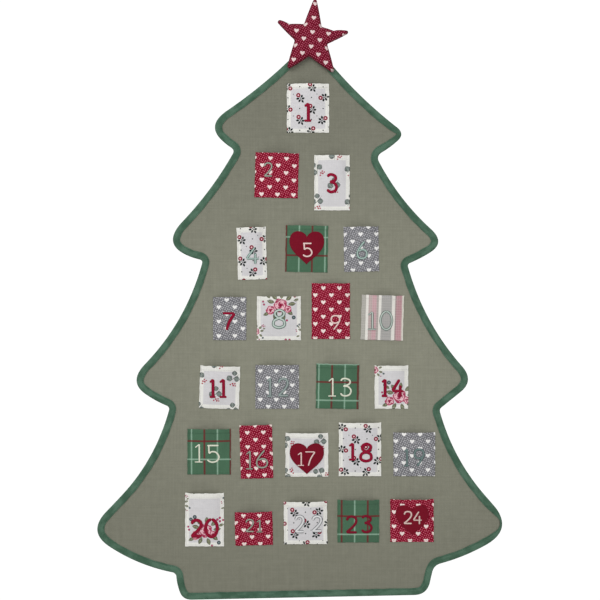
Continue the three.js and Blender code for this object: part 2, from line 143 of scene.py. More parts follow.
# Strokes of the digits in a box from 0 to 1: straight ones keep their corners, the others are curved.
# Some are thinner than the rest, by the share given last.
GLYPHS = {
    "0": [("curve", [(0.5, 1), (0.14, 0.84), (0.0, 0.5), (0.14, 0.15), (0.5, 0), (0.86, 0.15), (1, 0.5), (0.86, 0.84),
                     (0.5, 1)])],
    "1": [("line", [(-0.06, 0.81), (0.6, 1.0)], 0.7), ("line", [(0.6, 1.0), (0.6, 0.0)]),
          ("line", [(-0.14, -0.02), (1.14, -0.02)], 0.7)],
    "2": [("curve", [(0.02, 0.74), (0.16, 0.93), (0.5, 1.0), (0.84, 0.92), (0.94, 0.72), (0.8, 0.5), (0.45, 0.25),
                     (0.0, 0.0)]), ("line", [(0.0, 0.0), (1.0, 0.0)])],
    "3": [("curve", [(0.02, 0.87), (0.2, 0.98), (0.48, 1.0), (0.82, 0.92), (0.92, 0.78), (0.72, 0.64), (0.26, 0.57)]),
          ("curve", [(0.26, 0.57), (0.72, 0.53), (1.0, 0.31), (0.86, 0.08), (0.46, 0.0), (0.16, 0.05), (0.0, 0.16)])],
    "4": [("line", [(0.64, 1.0), (0.0, 0.33)]), ("line", [(0.0, 0.32), (1.0, 0.32)], 0.75),
          ("line", [(0.71, 0.66), (0.71, 0.0)])],
    "5": [("line", [(0.0, 1.0), (0.97, 1.0)]), ("line", [(0.13, 1.0), (0.16, 0.52)]),
          ("curve", [(0.16, 0.52), (0.4, 0.63), (0.76, 0.58), (1.0, 0.33), (0.86, 0.09), (0.5, 0.0), (0.2, 0.04),
                     (0.0, 0.14)])],
    "6": [("curve", [(0.74, 1.0), (0.42, 0.78), (0.12, 0.52), (0.0, 0.3), (0.12, 0.08), (0.5, 0.0), (0.88, 0.08),
                     (1.0, 0.27), (0.88, 0.45), (0.54, 0.52), (0.16, 0.44)])],
    "7": [("line", [(0.0, 1.01), (0.96, 1.01)], 0.8), ("curve", [(1.0, 1.0), (0.57, 0.52), (0.32, 0.0)])],
    "8": [("curve", [(0.5, 0.54), (0.2, 0.68), (0.18, 0.88), (0.54, 1.0), (0.92, 0.88), (0.88, 0.68), (0.5, 0.54),
                     (0.08, 0.4), (0.04, 0.12), (0.5, 0.0), (0.96, 0.12), (0.92, 0.4), (0.5, 0.54)])],
    "9": [("curve", [(0.86, 0.56), (0.5, 0.46), (0.14, 0.52), (0.0, 0.72), (0.14, 0.94), (0.5, 1.0), (0.84, 0.94),
                     (0.98, 0.75), (0.9, 0.55), (0.6, 0.25), (0.28, 0.0)])],
}


# Meshes

def made(name, points, faces, uv, edge=None):
    """An object at the origin from points in tree millimetres, lists of faces with the same number of sides, each
    point's place in its cloth and, on some, how far it is from the edge. Its faces are turned outwards by its
    volume's sign."""
    mesh = bpy.data.meshes.new(name)
    world = (points + (0, 0, TIP)) * 0.001
    volume = 0
    for face in faces:
        fan = world[face]
        for k in range(1, face.shape[1] - 1):
            volume += np.einsum("ij,ij->", fan[:, 0], np.cross(fan[:, k], fan[:, k + 1]))
    if volume < 0:
        faces = [face[:, ::-1] for face in faces]
    sizes = np.concatenate([np.full(len(f), f.shape[1]) for f in faces])
    loops = np.concatenate([f.ravel() for f in faces])
    mesh.vertices.add(len(points))
    mesh.vertices.foreach_set("co", world.ravel())
    mesh.loops.add(len(loops))
    mesh.loops.foreach_set("vertex_index", loops)
    mesh.polygons.add(len(sizes))
    mesh.polygons.foreach_set("loop_start", np.concatenate([[0], np.cumsum(sizes)[:-1]]))
    mesh.polygons.foreach_set("loop_total", sizes)
    mesh.polygons.foreach_set("use_smooth", np.ones(len(sizes), bool))
    mesh.uv_layers.new(name="cloth").data.foreach_set("uv", (uv[loops] * 0.001).ravel())
    if edge is not None:
        mesh.attributes.new("edge", "FLOAT", "POINT").data.foreach_set("value", edge)
    mesh.update(calc_edges=True)
    mesh.validate()
    piece = bpy.data.objects.new(name, mesh)
    bpy.context.scene.collection.objects.link(piece)
    return piece


def grid_faces(rows, columns, around=False, across=False, first=0):
    """Four-sided faces of a grid of points; around joins the last row to the first, across the last column."""
    i = np.arange(rows if around else rows - 1)[:, None]
    j = np.arange(columns if across else columns - 1)[None, :]
    k, m = (i + 1) % rows, (j + 1) % columns
    return rows_of(i * columns + j, i * columns + m, k * columns + m, k * columns + j) + first


def border(rows, columns):
    """The border points of a grid, in order round it."""
    index = np.arange(rows * columns).reshape(rows, columns)
    return np.concatenate([index[0, :-1], index[:-1, -1], index[-1, :0:-1], index[:0:-1, 0]])


def sheet_faces(rows, columns):
    """Faces of a closed sheet whose front grid comes first and whose rear grid comes after it."""
    count = rows * columns
    edge = border(rows, columns)
    ahead = np.roll(edge, -1)
    sides = np.stack([ahead, edge, edge + count, ahead + count], -1)
    return [grid_faces(rows, columns), grid_faces(rows, columns, first=count)[:, ::-1], sides]


def sheet(name, x, depths, z, u, v, edge=None):
    """A closed sheet from grids of its places, its front and rear depths and its places in the flat cloth."""
    points = np.concatenate([rows_of(x, y, z) for y in depths])
    return made(name, points, sheet_faces(*x.shape), np.tile(rows_of(u, v), (2, 1)), edge)


def ring_faces(rings, spokes):
    """Faces of a closed round sheet: front rings from the middle outwards, then rear rings, then both middles."""
    count = rings * spokes
    front = grid_faces(rings, spokes, across=True)[:, ::-1]
    rear = grid_faces(rings, spokes, across=True, first=count)
    j = np.arange(spokes)
    k = (j + 1) % spokes
    last = (rings - 1) * spokes
    rim = np.stack([last + k, last + j, count + last + j, count + last + k], -1)
    caps = np.concatenate([
        np.stack([np.full(spokes, 2 * count), j, k], -1),
        np.stack([np.full(spokes, 2 * count + 1), count + k, count + j], -1),
    ])
    return [front, rear, rim, caps]


def waves(seed, lengths, *places):
    """Soft irregularity from -1 to 1: sines of the given wave lengths along a few directions, seeded."""
    rng = np.random.default_rng(seed)
    total = 0
    for length in lengths:
        direction = rng.normal(size=len(places))
        direction /= np.linalg.norm(direction)
        phase = rng.uniform(0, 2 * math.pi)
        along = sum(d * p for d, p in zip(direction, places))
        total = total + np.sin(2 * math.pi * along / length + phase)
    return total / len(lengths)


def bump(distance, width):
    """A smooth hill of height 1 at distance 0."""
    return np.exp(-(distance / width) ** 2)


def rounded(distance, radius):
    """A quarter circle's height as a share: 0 at an edge, 1 from a radius inside it."""
    return np.sqrt(1 - (1 - np.clip(distance / radius, 0, 1)) ** 2)


def rows_of(*grids):
    """Grids that stretch to one shape, as rows of points."""
    return np.stack(np.broadcast_arrays(*grids), -1).reshape(-1, len(grids))


def two_layers(grid, middle):
    """A grid's values for the front and again for the rear, then the middle's value for both."""
    return np.concatenate([grid.ravel(), grid.ravel(), [middle, middle]])


def run_along(line):
    """The distance from a line's start to each of its points."""
    return np.concatenate([[0], np.cumsum(np.hypot(*np.diff(line, axis=0).T))])


def places_at(line, at):
    """Points of a line at distances along it."""
    run = run_along(line)
    return rows_of(*(np.interp(at, run, line[:, k]) for k in (0, 1)))


def unit(ahead):
    """Directions brought to length 1."""
    return ahead / np.maximum(np.hypot(*ahead.T), 1e-9)[:, None]


def left_of(heading):
    """Each direction turned a quarter to its left."""
    return np.stack([-heading[:, 1], heading[:, 0]], -1)


def tube_faces(rows, columns, first=0):
    """Faces of a tube whose rings are a grid's rows, closed at both ends."""
    ring = np.arange(columns)
    caps = np.stack([first + ring[::-1], first + (rows - 1) * columns + ring])
    return grid_faces(rows, columns, across=True, first=first), caps


# The outline

def quadratic(a, control, b, t):
    """Points of a quadratic curve."""
    t = np.asarray(t)[:, None]
    return (1 - t) ** 2 * a + 2 * t * (1 - t) * control + t ** 2 * b


def rounded_outline(corners, spacing):
    """A closed outline: every edge a shallow quadratic curve, every corner a rounded one, as in the CAD."""
    places = np.array([c[:2] for c in corners], float)
    edges = []
    for i, (_, _, cut, hollow) in enumerate(corners):
        after = (i + 1) % len(corners)
        start, end = places[i], places[after]
        along = end - start
        length = np.hypot(*along)
        middle = (start + end) / 2 + np.array([-along[1], along[0]]) / length * 2 * hollow
        first, last = cut / length, 1 - corners[after][2] / length
        steps = np.linspace(first, last, max(3, int(length / spacing)))
        points = quadratic(start, middle, end, steps)
        slopes = [(1 - t) * (middle - start) + t * (end - middle) for t in (first, last)]
        edges.append((points, slopes))
    outline = []
    for i, (points, slopes) in enumerate(edges):
        after, after_slopes = edges[(i + 1) % len(edges)]
        p, u, q, v = points[-1], slopes[1], after[0], after_slopes[0]
        share = ((q - p)[0] * v[1] - (q - p)[1] * v[0]) / (u[0] * v[1] - u[1] * v[0])
        size = np.hypot(*(q - p))
        steps = np.linspace(0, 1, max(12, int(1.8 * size / spacing)) + 1)
        outline += [points[:-1], quadratic(p, p + u * share, q, steps)[:-1]]
    return np.concatenate(outline)


def inward(outline):
    """For each point of an anticlockwise outline, the unit direction inside that halves the angle of its edges."""
    ahead = unit(np.roll(outline, -1, 0) - outline)
    return left_of(unit(ahead + np.roll(ahead, 1, 0)))


def far_from(points, outline):
    """The distance of each point from the nearest edge of the outline."""
    start = outline[None]
    along = (np.roll(outline, -1, 0) - outline)[None]
    rel = points[:, None] - start
    share = np.clip((rel * along).sum(-1) / (along ** 2).sum(-1), 0, 1)
    return np.sqrt(((rel - along * share[..., None]) ** 2).sum(-1).min(1))


def depth_limits(outline, inside, most):
    """How far each point can move inwards before another part of the outline is nearer: folded tape meets there."""
    low, high = np.zeros(len(outline)), np.full(len(outline), most)
    for _ in range(12):
        middle = (low + high) / 2
        clear = far_from(outline + inside * middle[:, None], outline) >= middle * 0.985
        low, high = np.where(clear, middle, low), np.where(clear, high, middle)
    return high


OUTLINE = rounded_outline(CORNERS, 2.6)
INWARD = inward(OUTLINE)
LIMIT = depth_limits(OUTLINE, INWARD, BINDING_WIDTH + 1)
LENGTHS = np.hypot(*(np.roll(OUTLINE, -1, 0) - OUTLINE).T)
ALONG = np.concatenate([[0], np.cumsum(LENGTHS)[:-1]])


def distance_to(*spots):
    """How far each point of the outline is from the nearest of some spots."""
    return np.stack([np.hypot(*(OUTLINE - spot).T) for spot in spots]).min(0)


# How much narrower the tape's front lap gets, where it turns in at the tips of two lobes on the right
TURNED_IN = sum(less * bump(distance_to(tip), 21) for less, tip in ((9.0, (330, -850)), (3.0, (152, -172))))


# Pockets

def pocket_place(day):
    """Where a pocket's own origin lies, and the cosine and sine of its clockwise turn."""
    row, middle, _, _, turn, _, _ = POCKETS[day]
    return middle, row, math.cos(math.radians(turn)), math.sin(math.radians(turn))


def to_world(day, x, z):
    """A pocket's own x and z to the tree's."""
    x0, z0, c, s = pocket_place(day)
    return x0 + x * c + z * s, z0 - x * s + z * c


def to_pocket(day, x, z):
    """The tree's x and z to a pocket's own."""
    x0, z0, c, s = pocket_place(day)
    return (x - x0) * c - (z - z0) * s, (x - x0) * s + (z - z0) * c


def photo_place(px, py):
    """A pixel of the photograph in tree millimetres."""
    return (px - PHOTO_MIDDLE) * PHOTO_PIXEL, (PHOTO_TOP - py) * PHOTO_PIXEL - TIP


def pocket_room(day, x, z):
    """How far the cloth stands off the panel: nothing at the sewn edges, most at the mouth."""
    width, height = POCKETS[day][2:4]
    across = np.minimum(1, np.abs(x) / (width / 2 - POCKET_MARGIN))
    up = np.clip((z - POCKET_MARGIN) / (height - POCKET_MARGIN), 0, 1)
    slack = 1 + 0.05 * waves(day, (31, 23, 17), x, z)
    return POCKET_ROOM * (1 - across ** 2.5) * (1 - (1 - up) ** 2) * slack


def pocket_front(day, x, z):
    """Front face of a pocket: its room, the turned edge's second layer, the dips of its stitch lines, a doubled
    hem, and edges that round down to the fold."""
    width, height = POCKETS[day][2:4]
    edge = np.minimum(width / 2 - np.abs(x), z)
    doubled = TURNED_CLOTH * np.clip((TURNED_WIDTH - edge) / 1.2, 0, 1)
    in_hem = z - height + POCKET_HEM
    hem = HEM_EXTRA * np.clip(in_hem / HEM_STEP, 0, 1)
    dips = 0.3 * bump(edge - SEAM_INSET, 0.8) + 0.25 * bump(in_hem - HEM_SEAM, 0.8)
    soft = 0.14 * waves(day + 50, (13, 9, 21), x, z)
    fold = rounded(np.minimum(edge, height - z), 0.8)
    thick = np.maximum(0.22, (POCKET_CLOTH - TURNED_CLOTH + doubled + hem - dips + soft) * fold)
    return POCKET_SEAT - thick - pocket_room(day, x, z)


def spread(steps, size, near):
    """Places from 0 to size, closest together within near of both ends."""
    ends = near * np.array([0, 0.08, 0.22, 0.42, 0.7, 1.0])
    inner = np.linspace(near, size - near, steps)[1:-1]
    return np.concatenate([ends, inner, size - ends[::-1]])


def pocket(day):
    """A closed sheet with rounded, slightly wavy turned edges, sewn flat at three sides and open at the top."""
    _, _, width, height, _, _, mark = POCKETS[day]
    if day in PRINT_MARKS:
        mark = to_pocket(day, *photo_place(*PRINT_MARKS[day]))
    across, z = np.meshgrid(spread(44, width, 2.2), spread(46, height, 2.2))
    x = across - width / 2
    front, rear = pocket_front(day, x, z), POCKET_SEAT - pocket_room(day, x, z)
    side = np.clip(np.abs(x) / (width / 2), 0, 1) ** 6 * np.sign(x)
    top = np.clip(z / height, 0, 1) ** 8
    wavy_x = x + 0.45 * side * waves(day + 7, (24, 41, 13), z)
    wavy_z = (z + (0.5 * top - 0.4 * (1 - z / height) ** 8) * waves(day + 9, (19, 37, 11), x)
              - 0.6 * top * (1 - side ** 2))
    wx, wz = to_world(day, wavy_x, wavy_z)
    edge = np.minimum(np.minimum(width / 2 - np.abs(x), z), height - z - 2.4)
    return sheet(f"pocket_cloth_{day:02d}", wx, (front, rear), wz, x - mark[0], z - mark[1], np.tile(edge.ravel(), 2))


# Raised threads

def stitches(name, path, face, pitch=3.2, length=2.4, width=0.62, height=0.32):
    """Short rounded threads end to end along paths of (x, z) points, on a front or rear face given as a function of
    x and z. Each is a small closed tube that is thickest in its middle."""
    shares = np.array([-1, -0.82, -0.3, 0.3, 0.82, 1])
    swell = np.array([0.25, 0.75, 1, 1, 0.75, 0.25])
    angles = np.arange(6) * math.pi / 3
    places, headings = [], []
    for line in path:
        at = np.arange(pitch / 2, run_along(line)[-1] - length / 2, pitch)
        places.append(places_at(line, at))
        headings.append(unit(places_at(line, at + 0.5) - places[-1]))
    places, headings = np.concatenate(places), np.concatenate(headings)
    along = places[:, None, None] + headings[:, None, None] * (shares * length / 2)[None, :, None, None]
    sideways = (np.outer(swell, np.cos(angles)) * width / 2)[None, :, :, None]
    flat = along + left_of(headings)[:, None, None] * sideways
    base, outwards = face(flat[..., 0], flat[..., 1])
    y = base + outwards * ((np.outer(swell, np.sin(angles)) * height)[None] + 0.16)
    starts = np.arange(len(places))[:, None, None] * (len(shares) * len(angles))
    faces = [(part[None] + starts).reshape(-1, part.shape[1]) for part in tube_faces(len(shares), len(angles))]
    uv = np.tile(rows_of(shares[:, None] * length / 2, angles), (len(places), 1))
    return made(name, rows_of(flat[..., 0], y, flat[..., 1]), faces, uv)


def curved(points, steps):
    """A smooth curve through points, by cubic pieces with slopes taken from each point's neighbours."""
    p = np.asarray(points, float)
    closed = np.allclose(p[0], p[-1])
    before = p[-2] if closed else 2 * p[0] - p[1]
    after = p[1] if closed else 2 * p[-1] - p[-2]
    q = np.vstack([before, p, after])
    t = np.linspace(0, 1, steps)[:-1, None]
    parts = []
    for i in range(1, len(q) - 2):
        a, b, c, d = q[i - 1], q[i], q[i + 1], q[i + 2]
        parts.append(0.5 * (2 * b + (c - a) * t + (2 * a - 5 * b + 4 * c - d) * t ** 2
                            + (3 * b - a - 3 * c + d) * t ** 3))
    return np.vstack(parts + [p[-1:]])


def satin(day):
    """The number of a pocket as satin-stitched columns: along each stroke a low half-ellipse that ends round."""
    _, width, digits = NUMBERS[day]
    height = 0.55 + 0.09 * width
    angles = np.concatenate([np.linspace(0, 1, 11), [1.25, 1.5, 1.75]]) * math.pi
    side, up = np.cos(angles), np.maximum(np.sin(angles), -0.12)
    points, quads, caps, uvs, edges = [], [], [], [], []
    first = 0
    for digit, left, right, top, bottom in digits:
        low = np.array(photo_place(left, bottom)) + width / 2
        high = np.array(photo_place(right, top)) - width / 2
        for layer, (kind, keys, *thin) in enumerate(GLYPHS[digit]):
            keys = np.asarray(keys, float) * (high - low) + low
            line = curved(keys, 14) if kind == "curve" else keys
            end = run_along(line)[-1]
            half = width / 2 * (thin[0] if thin else 1)
            rim = half * (1 - np.cos(np.linspace(0, math.pi / 2, 6)))
            inner = np.linspace(half, max(half, end - half), max(4, int(end / 0.8)))
            at = np.sort(np.concatenate([rim, inner[1:-1], end - rim[::-1]]))
            middle = places_at(line, at)
            across = left_of(unit(np.gradient(middle, axis=0)))
            full = np.maximum(0.1, rounded(np.minimum(at, end - at), half))
            ragged = 1 + 0.03 * waves(day * 7 + layer, (2.1, 3.3, 5.9), at)
            flat = middle[:, None] + across[:, None] * (side[None] * (full * ragged * half)[:, None])[..., None]
            base = cloth_front(day, *to_pocket(day, flat[..., 0], flat[..., 1]))
            y = base - 0.12 - (up[None] * (full * height)[:, None]) - 0.1 * layer
            points.append(rows_of(flat[..., 0], y, flat[..., 1]))
            uvs.append(rows_of(at[:, None], side * half))
            edges.append(np.tile(np.abs(side), len(at)))
            for faces, more in zip((quads, caps), tube_faces(*y.shape, first)):
                faces.append(more)
            first += y.size
    return made(f"number_{day:02d}", np.concatenate(points), [np.concatenate(quads), np.concatenate(caps)],
                np.concatenate(uvs), np.concatenate(edges))


# Sewn hearts

def cubic(a, b, c, d, steps):
    """Points of a cubic curve without its last one."""
    t = np.linspace(0, 1, steps + 1)[:-1, None]
    return (1 - t) ** 3 * a + 3 * (1 - t) ** 2 * t * b + 3 * (1 - t) * t ** 2 * c + t ** 3 * d


def heart_outline(width, height, steps):
    """A heart about its own middle: two lobes of cubic curves down to a point."""
    a, h = width / 2, height
    left = [[(0, 0.34), (-0.15, 0.56), (-1, 0.62), (-1, 0.2)], [(-1, 0.2), (-1, -0.1), (-0.35, -0.3), (0, -0.5)]]
    right = [[(-x, z) for x, z in lobe[::-1]] for lobe in left[::-1]]
    return np.concatenate([cubic(*(np.array(point) * (a, h) for point in lobe), steps) for lobe in left + right])


def heart_front(day, x, z):
    """Front face of the heart on a pocket, from the pocket's own x and z."""
    return pocket_front(day, x, z) - 0.9


def cloth_front(day, x, z):
    """What a number is sewn on: the heart where the pocket has one, or its cloth."""
    return heart_front(day, x, z) if day in HEARTS else pocket_front(day, x, z)


def heart_patch(day):
    """A closed round-grid sheet in the heart's outline, with a raised satin-stitched rim."""
    width, height, lift = HEARTS[day]
    up = POCKETS[day][3] / 2 + lift
    outline = heart_outline(width, height, 28)
    share = np.concatenate([np.linspace(0.08, 0.86, 14), np.linspace(0.885, 1, 12)])[:, None]
    x, z = share * outline[:, 0], share * outline[:, 1] + up
    gap = (1 - share) * np.hypot(*outline.T)[None]
    rim = 0.2 * bump(gap - 1.2, 0.9) + 0.08 * waves(day, (7, 11), x, z)
    rear = pocket_front(day, x, z) - 0.22
    front = rear - np.maximum(0.15, (0.62 + rim) * rounded(gap, 0.5))
    middle = pocket_front(day, np.zeros(1), np.full(1, up))
    ys = np.concatenate([front.ravel(), rear.ravel(), middle - 0.84, middle - 0.22])
    xs, zs = two_layers(x, 0), two_layers(z, up)
    wx, wz = to_world(day, xs, zs)
    return made(f"heart_cloth_{day:02d}", rows_of(wx, ys, wz), ring_faces(*x.shape), rows_of(xs, zs),
                two_layers(gap, 20))


# The tree's own cloths

def side_places(inset):
    """Functions of z for the left and right side of the tree, moved inwards, and how low they reach."""
    moved = OUTLINE + INWARD * np.minimum(LIMIT, inset)[:, None]
    low = int(np.argmin(moved[:, 1]))
    left, right = moved[:low + 1][::-1], moved[low:]
    sides = []
    for side in (left, right):
        z = np.maximum.accumulate(side[:, 1]) + np.arange(len(side)) * 1e-6
        sides.append(lambda at, z=z, x=side[:, 0]: np.interp(at, z, x))
    return *sides, moved[low, 1]


def panel_front(x, z):
    """Front of the linen panel: flat, with soft puckers along the binding and two pressed creases under the star."""
    left, right, _ = SIDES
    edge = np.minimum(x - left(z), right(z) - x)
    puckers = bump(edge - 13, 9) * waves(3, (19, 31, 13), z, x)
    creases = bump(z + 66, 16) * (bump(x + 5.5, 1.0) + bump(x + 9.5, 1.0))
    return PANEL_FRONT + 0.16 * puckers + 0.10 * waves(4, (55, 90, 38), x, z) - 0.25 * creases


def tree_sheet(name, inset, front, rear, top=-4.0, rows=210, columns=121):
    """A closed sheet in the tree's outline, between a front and a rear depth given for x and z."""
    left, right, low = side_places(inset)
    z = np.linspace(low + 0.4, top, rows)[:, None] + np.zeros((1, columns))
    share = np.linspace(0, 1, columns)[None]
    x = left(z) + (right(z) - left(z)) * share
    return sheet(name, x, (front(x, z), rear(x, z)), z, x, z)


def flat_depth(y, unevenness=0.0, seed=1):
    """A depth function that is even but for soft waves."""
    return lambda x, z: y + unevenness * waves(seed, (60, 41, 85), x, z)


def edge_binding():
    """A folded tape swept along the outline. Its section runs from the front lap's inner edge over the outer fold
    to the rear lap and back inside; at each tight corner the laps stop where they meet, and at notches they pleat."""
    section = np.array([
        (12.6, -5.85), (12.55, -6.35), (12.2, -6.6), (11.4, -6.66), (10.6, -6.48), (9.7, -6.7), (8.0, -6.8),
        (6.0, -6.82), (4.2, -6.78), (2.8, -6.6), (1.5, -6.1), (0.6, -5.2), (0.12, -4.2), (0.0, -3.3), (0.12, -2.4),
        (0.6, -1.4), (1.5, -0.5), (3.0, -0.1), (6.0, 0.0), (9.6, 0.0), (12.0, 0.0), (12.6, -0.2), (12.6, -0.9),
        (9.0, -1.0), (3.0, -1.0), (1.6, -1.8), (1.1, -3.3), (1.6, -4.9), (3.0, -5.6), (9.0, -5.72),
    ])
    depth, y = section[None, :, 0], section[None, :, 1]
    wavy = 0.45 * waves(11, (34, 23, 61), ALONG) * bump(LIMIT - BINDING_WIDTH - 1, 4)
    reach = np.minimum(LIMIT, BINDING_WIDTH + wavy)[:, None] - (y < -5.5) * TURNED_IN[:, None]
    moved = np.where(depth <= 3, np.minimum(depth, reach), 3 + (depth - 3) * (reach - 3) / (BINDING_WIDTH - 3))
    pleats = bump(distance_to(*NOTCHES), 17) * np.cos(2 * math.pi * ALONG / 5.2)
    ripple = 0.22 * waves(12, (16, 27, 43, 11), ALONG) + 0.5 * pleats
    swell = np.sin(math.pi * np.clip((depth - 1) / 11, 0, 1))
    front = y < -5.75
    lifted = y - front * swell * (ripple[:, None] + 0.1)
    x, z = (OUTLINE[:, None, k] + INWARD[:, None, k] * moved for k in (0, 1))
    faces = [grid_faces(*x.shape, around=True, across=True)]
    return made("binding_tape", rows_of(x, lifted, z), faces, rows_of(ALONG[:, None], run_along(section)))


# The loop's crown: the height of its middle over the tip, its radius, and the depth the tape lies at
LOOP_CROWN, LOOP_RADIUS, LOOP_MIDDLE = 27, 8.5, -3.3


def hanging_loop():
    """A tape swept up one leg, round the crown and down the other, its section a flat rounded oblong."""
    angles = np.linspace(math.pi, 0, 25)
    crown = rows_of(LOOP_RADIUS * np.cos(angles), LOOP_CROWN + LOOP_RADIUS * np.sin(angles))
    legs = np.array([(-2.6, -37), (-2.6, -24), (-2.6, -10), (-2.65, 2), (-4.3, 11), (-6.4, 19)], float)
    path = curved(np.concatenate([legs, crown, legs[::-1] * (-1, 1)]), 6)
    across = left_of(unit(np.gradient(path, axis=0)))
    turn = np.linspace(0, 2 * math.pi, 17)[:-1]
    wide = 2.4 * np.sign(np.cos(turn)) * np.abs(np.cos(turn)) ** 0.45
    deep = 0.95 * np.sign(np.sin(turn)) * np.abs(np.sin(turn)) ** 0.6
    flat = path[:, None] + across[:, None] * wide[None, :, None]
    points = rows_of(flat[..., 0], LOOP_MIDDLE + deep, flat[..., 1])
    uv = rows_of(run_along(path)[:, None], wide)
    return made("loop_tape", points, tube_faces(len(path), len(turn)), uv)


# The star, about its own middle

STAR_MIDDLE = np.array((-1.2, -1.7))
STAR_TILT = math.radians(5.5)
# Where a heart of its print lies, from the middle
STAR_PRINT = (1.0, 9.4)
# Corners of its seam: x, z and how far back each is rounded. Blunt points have two; two edges are dented.
STAR_CORNERS = [
    (8.0, 65.6, 2.5), (2.9, 66.0, 2.5), (-14.0, 23.2, 3), (-41.0, 23.4, 1.6), (-46.0, 26.6, 2), (-57.4, 30.6, 2.5),
    (-60.4, 25.8, 2.5), (-30.1, -5.0, 3), (-43.4, -51.2, 2.5), (-39.3, -54.6, 2.5), (-5.1, -33.0, 3),
    (34.4, -61.2, 2.5), (38.8, -58.2, 2.5), (26.3, -11.8, 3), (62.8, 6.4, 2.5), (62.4, 11.6, 2.5), (45.0, 12.8, 2),
    (39.4, 10.8, 1.6), (16.8, 18.3, 3),
]


def star_half(name, seam, swell, cloth=None, direction=-1):
    """Half of the stuffed star: rings from its middle to its seam, each drawn towards a circle near the middle,
    raised by an ellipse of the ring's share. Valleys run to the hollows and creases cross two of its points.
    Without a cloth it is the filling, lumpy in front, which bulges to both sides and stops short of the seam."""
    corners = [(x - STAR_MIDDLE[0], z - STAR_MIDDLE[1], cut, -0.5) for x, z, cut in STAR_CORNERS]
    outline = rounded_outline(corners, 1.6)
    reach = np.hypot(*outline.T)
    share = np.concatenate([np.linspace(0.06, 0.8, 17), np.linspace(0.84, 1, 9)])[:, None]
    if cloth is None:
        share = share * 0.9
    drawn = share * (share + (1 - share) * 38 / reach)
    x, z = drawn * outline[:, 0], drawn * outline[:, 1]
    crown = swell * np.sqrt(np.clip(1 - share ** 2.3, 0, 1)) ** 1.1
    if cloth is None:
        outer = seam - 0.5 - 0.9 * crown + 0.5 * waves(33, (9, 13, 21), x, z)
        inner = seam + 0.35 * crown
        middles = [seam - 0.5 - 0.9 * swell, seam + 0.35 * swell]
    else:
        angle = np.arctan2(outline[:, 1], outline[:, 0])
        hollow = np.clip((45 - reach) / 18, 0, 1)
        folds = 0.5 * share ** 5 * (1 - share ** 8) * waves(31, (0.21, 0.33, 0.5), angle)
        crease = (bump(x + 42 + 0.35 * (z - 22), 2.0) * bump(z - 26, 14)
                  + bump(x - 41 - 0.3 * (z - 12), 2.0) * bump(z - 12, 14)
                  + 0.5 * bump(z - 47 + 0.2 * x, 2.2) * bump(x, 12))
        height = (crown - (folds + 0.05 * swell * hollow * share)
                  - 1.1 * crease * (swell / 9) * (1 - share ** 6)
                  + 0.22 * waves(32, (17, 26, 11), x, z) * (1 - share ** 4))
        inner = seam + direction * np.maximum(height, 0)
        outer = inner + direction * cloth * (0.35 + 0.65 * np.sqrt(1 - share ** 10))
        middles = [seam + direction * swell + direction * cloth, seam + direction * swell]
    xs, zs = two_layers(x, 0), two_layers(z, 0)
    ys = np.concatenate([*(np.broadcast_to(y, x.shape).ravel() for y in (outer, inner)), middles])
    c, s = math.cos(STAR_TILT), math.sin(STAR_TILT)
    uv = rows_of(xs * c - zs * s - STAR_PRINT[0], xs * s + zs * c - STAR_PRINT[1])
    points = rows_of(xs + STAR_MIDDLE[0], ys, zs + STAR_MIDDLE[1])
    return made(name, points, ring_faces(*x.shape), uv, two_layers((1 - share) * reach, 30))


# Materials: a wire is what a node puts out, and short calls add nodes

class Wire:
    """What a node puts out. Sums of wires and numbers add Math nodes."""

    def __init__(self, socket):
        self.socket, self.tree = socket, socket.id_data

    def __add__(self, other):
        return calc("ADD", self, other)

    def __sub__(self, other):
        return calc("SUBTRACT", self, other)

    def __rsub__(self, other):
        return calc("SUBTRACT", other, self)

    def __mul__(self, other):
        return calc("MULTIPLY", self, other)

    def __truediv__(self, other):
        return calc("DIVIDE", self, other)


def put(value, socket):
    """Links a wire to a socket, or sets the socket to a number, vector or colour."""
    if isinstance(value, Wire):
        value.tree.links.new(value.socket, socket)
    else:
        socket.default_value = value


def add(tree, kind, values=(), out=0, **settings):
    """Adds a node, puts values on its inputs by place or name, and gives one of its outputs."""
    node = tree.nodes.new("ShaderNode" + kind)
    for key, value in settings.items():
        setattr(node, key, value)
    for key, value in values.items() if isinstance(values, dict) else enumerate(values):
        put(value, node.inputs[key])
    return Wire(node.outputs[out])


def tree_of(*values):
    """The node tree of the first wire among some values."""
    return next(value.tree for value in values if isinstance(value, Wire))


def calc(operation, *values):
    """A Math node."""
    return add(tree_of(*values), "Math", values, operation=operation)


def vec(operation, *values, out=0):
    """A Vector Math node. Its second output, where that is asked for, is a number such as a length."""
    return add(tree_of(*values), "VectorMath", values, out, operation=operation)


def mixed(factor, a, b, mode="MIX"):
    """Two colours mixed: the first at factor 0, the second at 1."""
    return add(tree_of(factor, a, b), "Mix", {0: factor, 6: a, 7: b}, 2, data_type="RGBA", blend_type=mode)


def ranged(value, low, high, to_low=0.0, to_high=1.0, kind="SMOOTHSTEP"):
    """A value brought from one range to another, softly at both ends unless it is linear."""
    return add(value.tree, "MapRange", (value, low, high, to_low, to_high), interpolation_type=kind)


def joined(x, y, z=0.0):
    """A vector from its parts."""
    return add(x.tree, "CombineXYZ", (x, y, z))


def parts(vector):
    """The x and y of a vector."""
    return [add(vector.tree, "SeparateXYZ", (vector,), out) for out in (0, 1)]


def noise(vector, scale, detail=2.0, rough=0.5):
    """Soft noise over a place, with a scale for each millimetre."""
    return add(vector.tree, "TexNoise", {"Vector": vector, "Scale": scale, "Detail": detail, "Roughness": rough})


def turned(place, angle):
    """A place turned about the origin by an angle in radians."""
    return add(place.tree, "VectorRotate", {"Vector": place, "Angle": angle}, rotation_type="Z_AXIS")


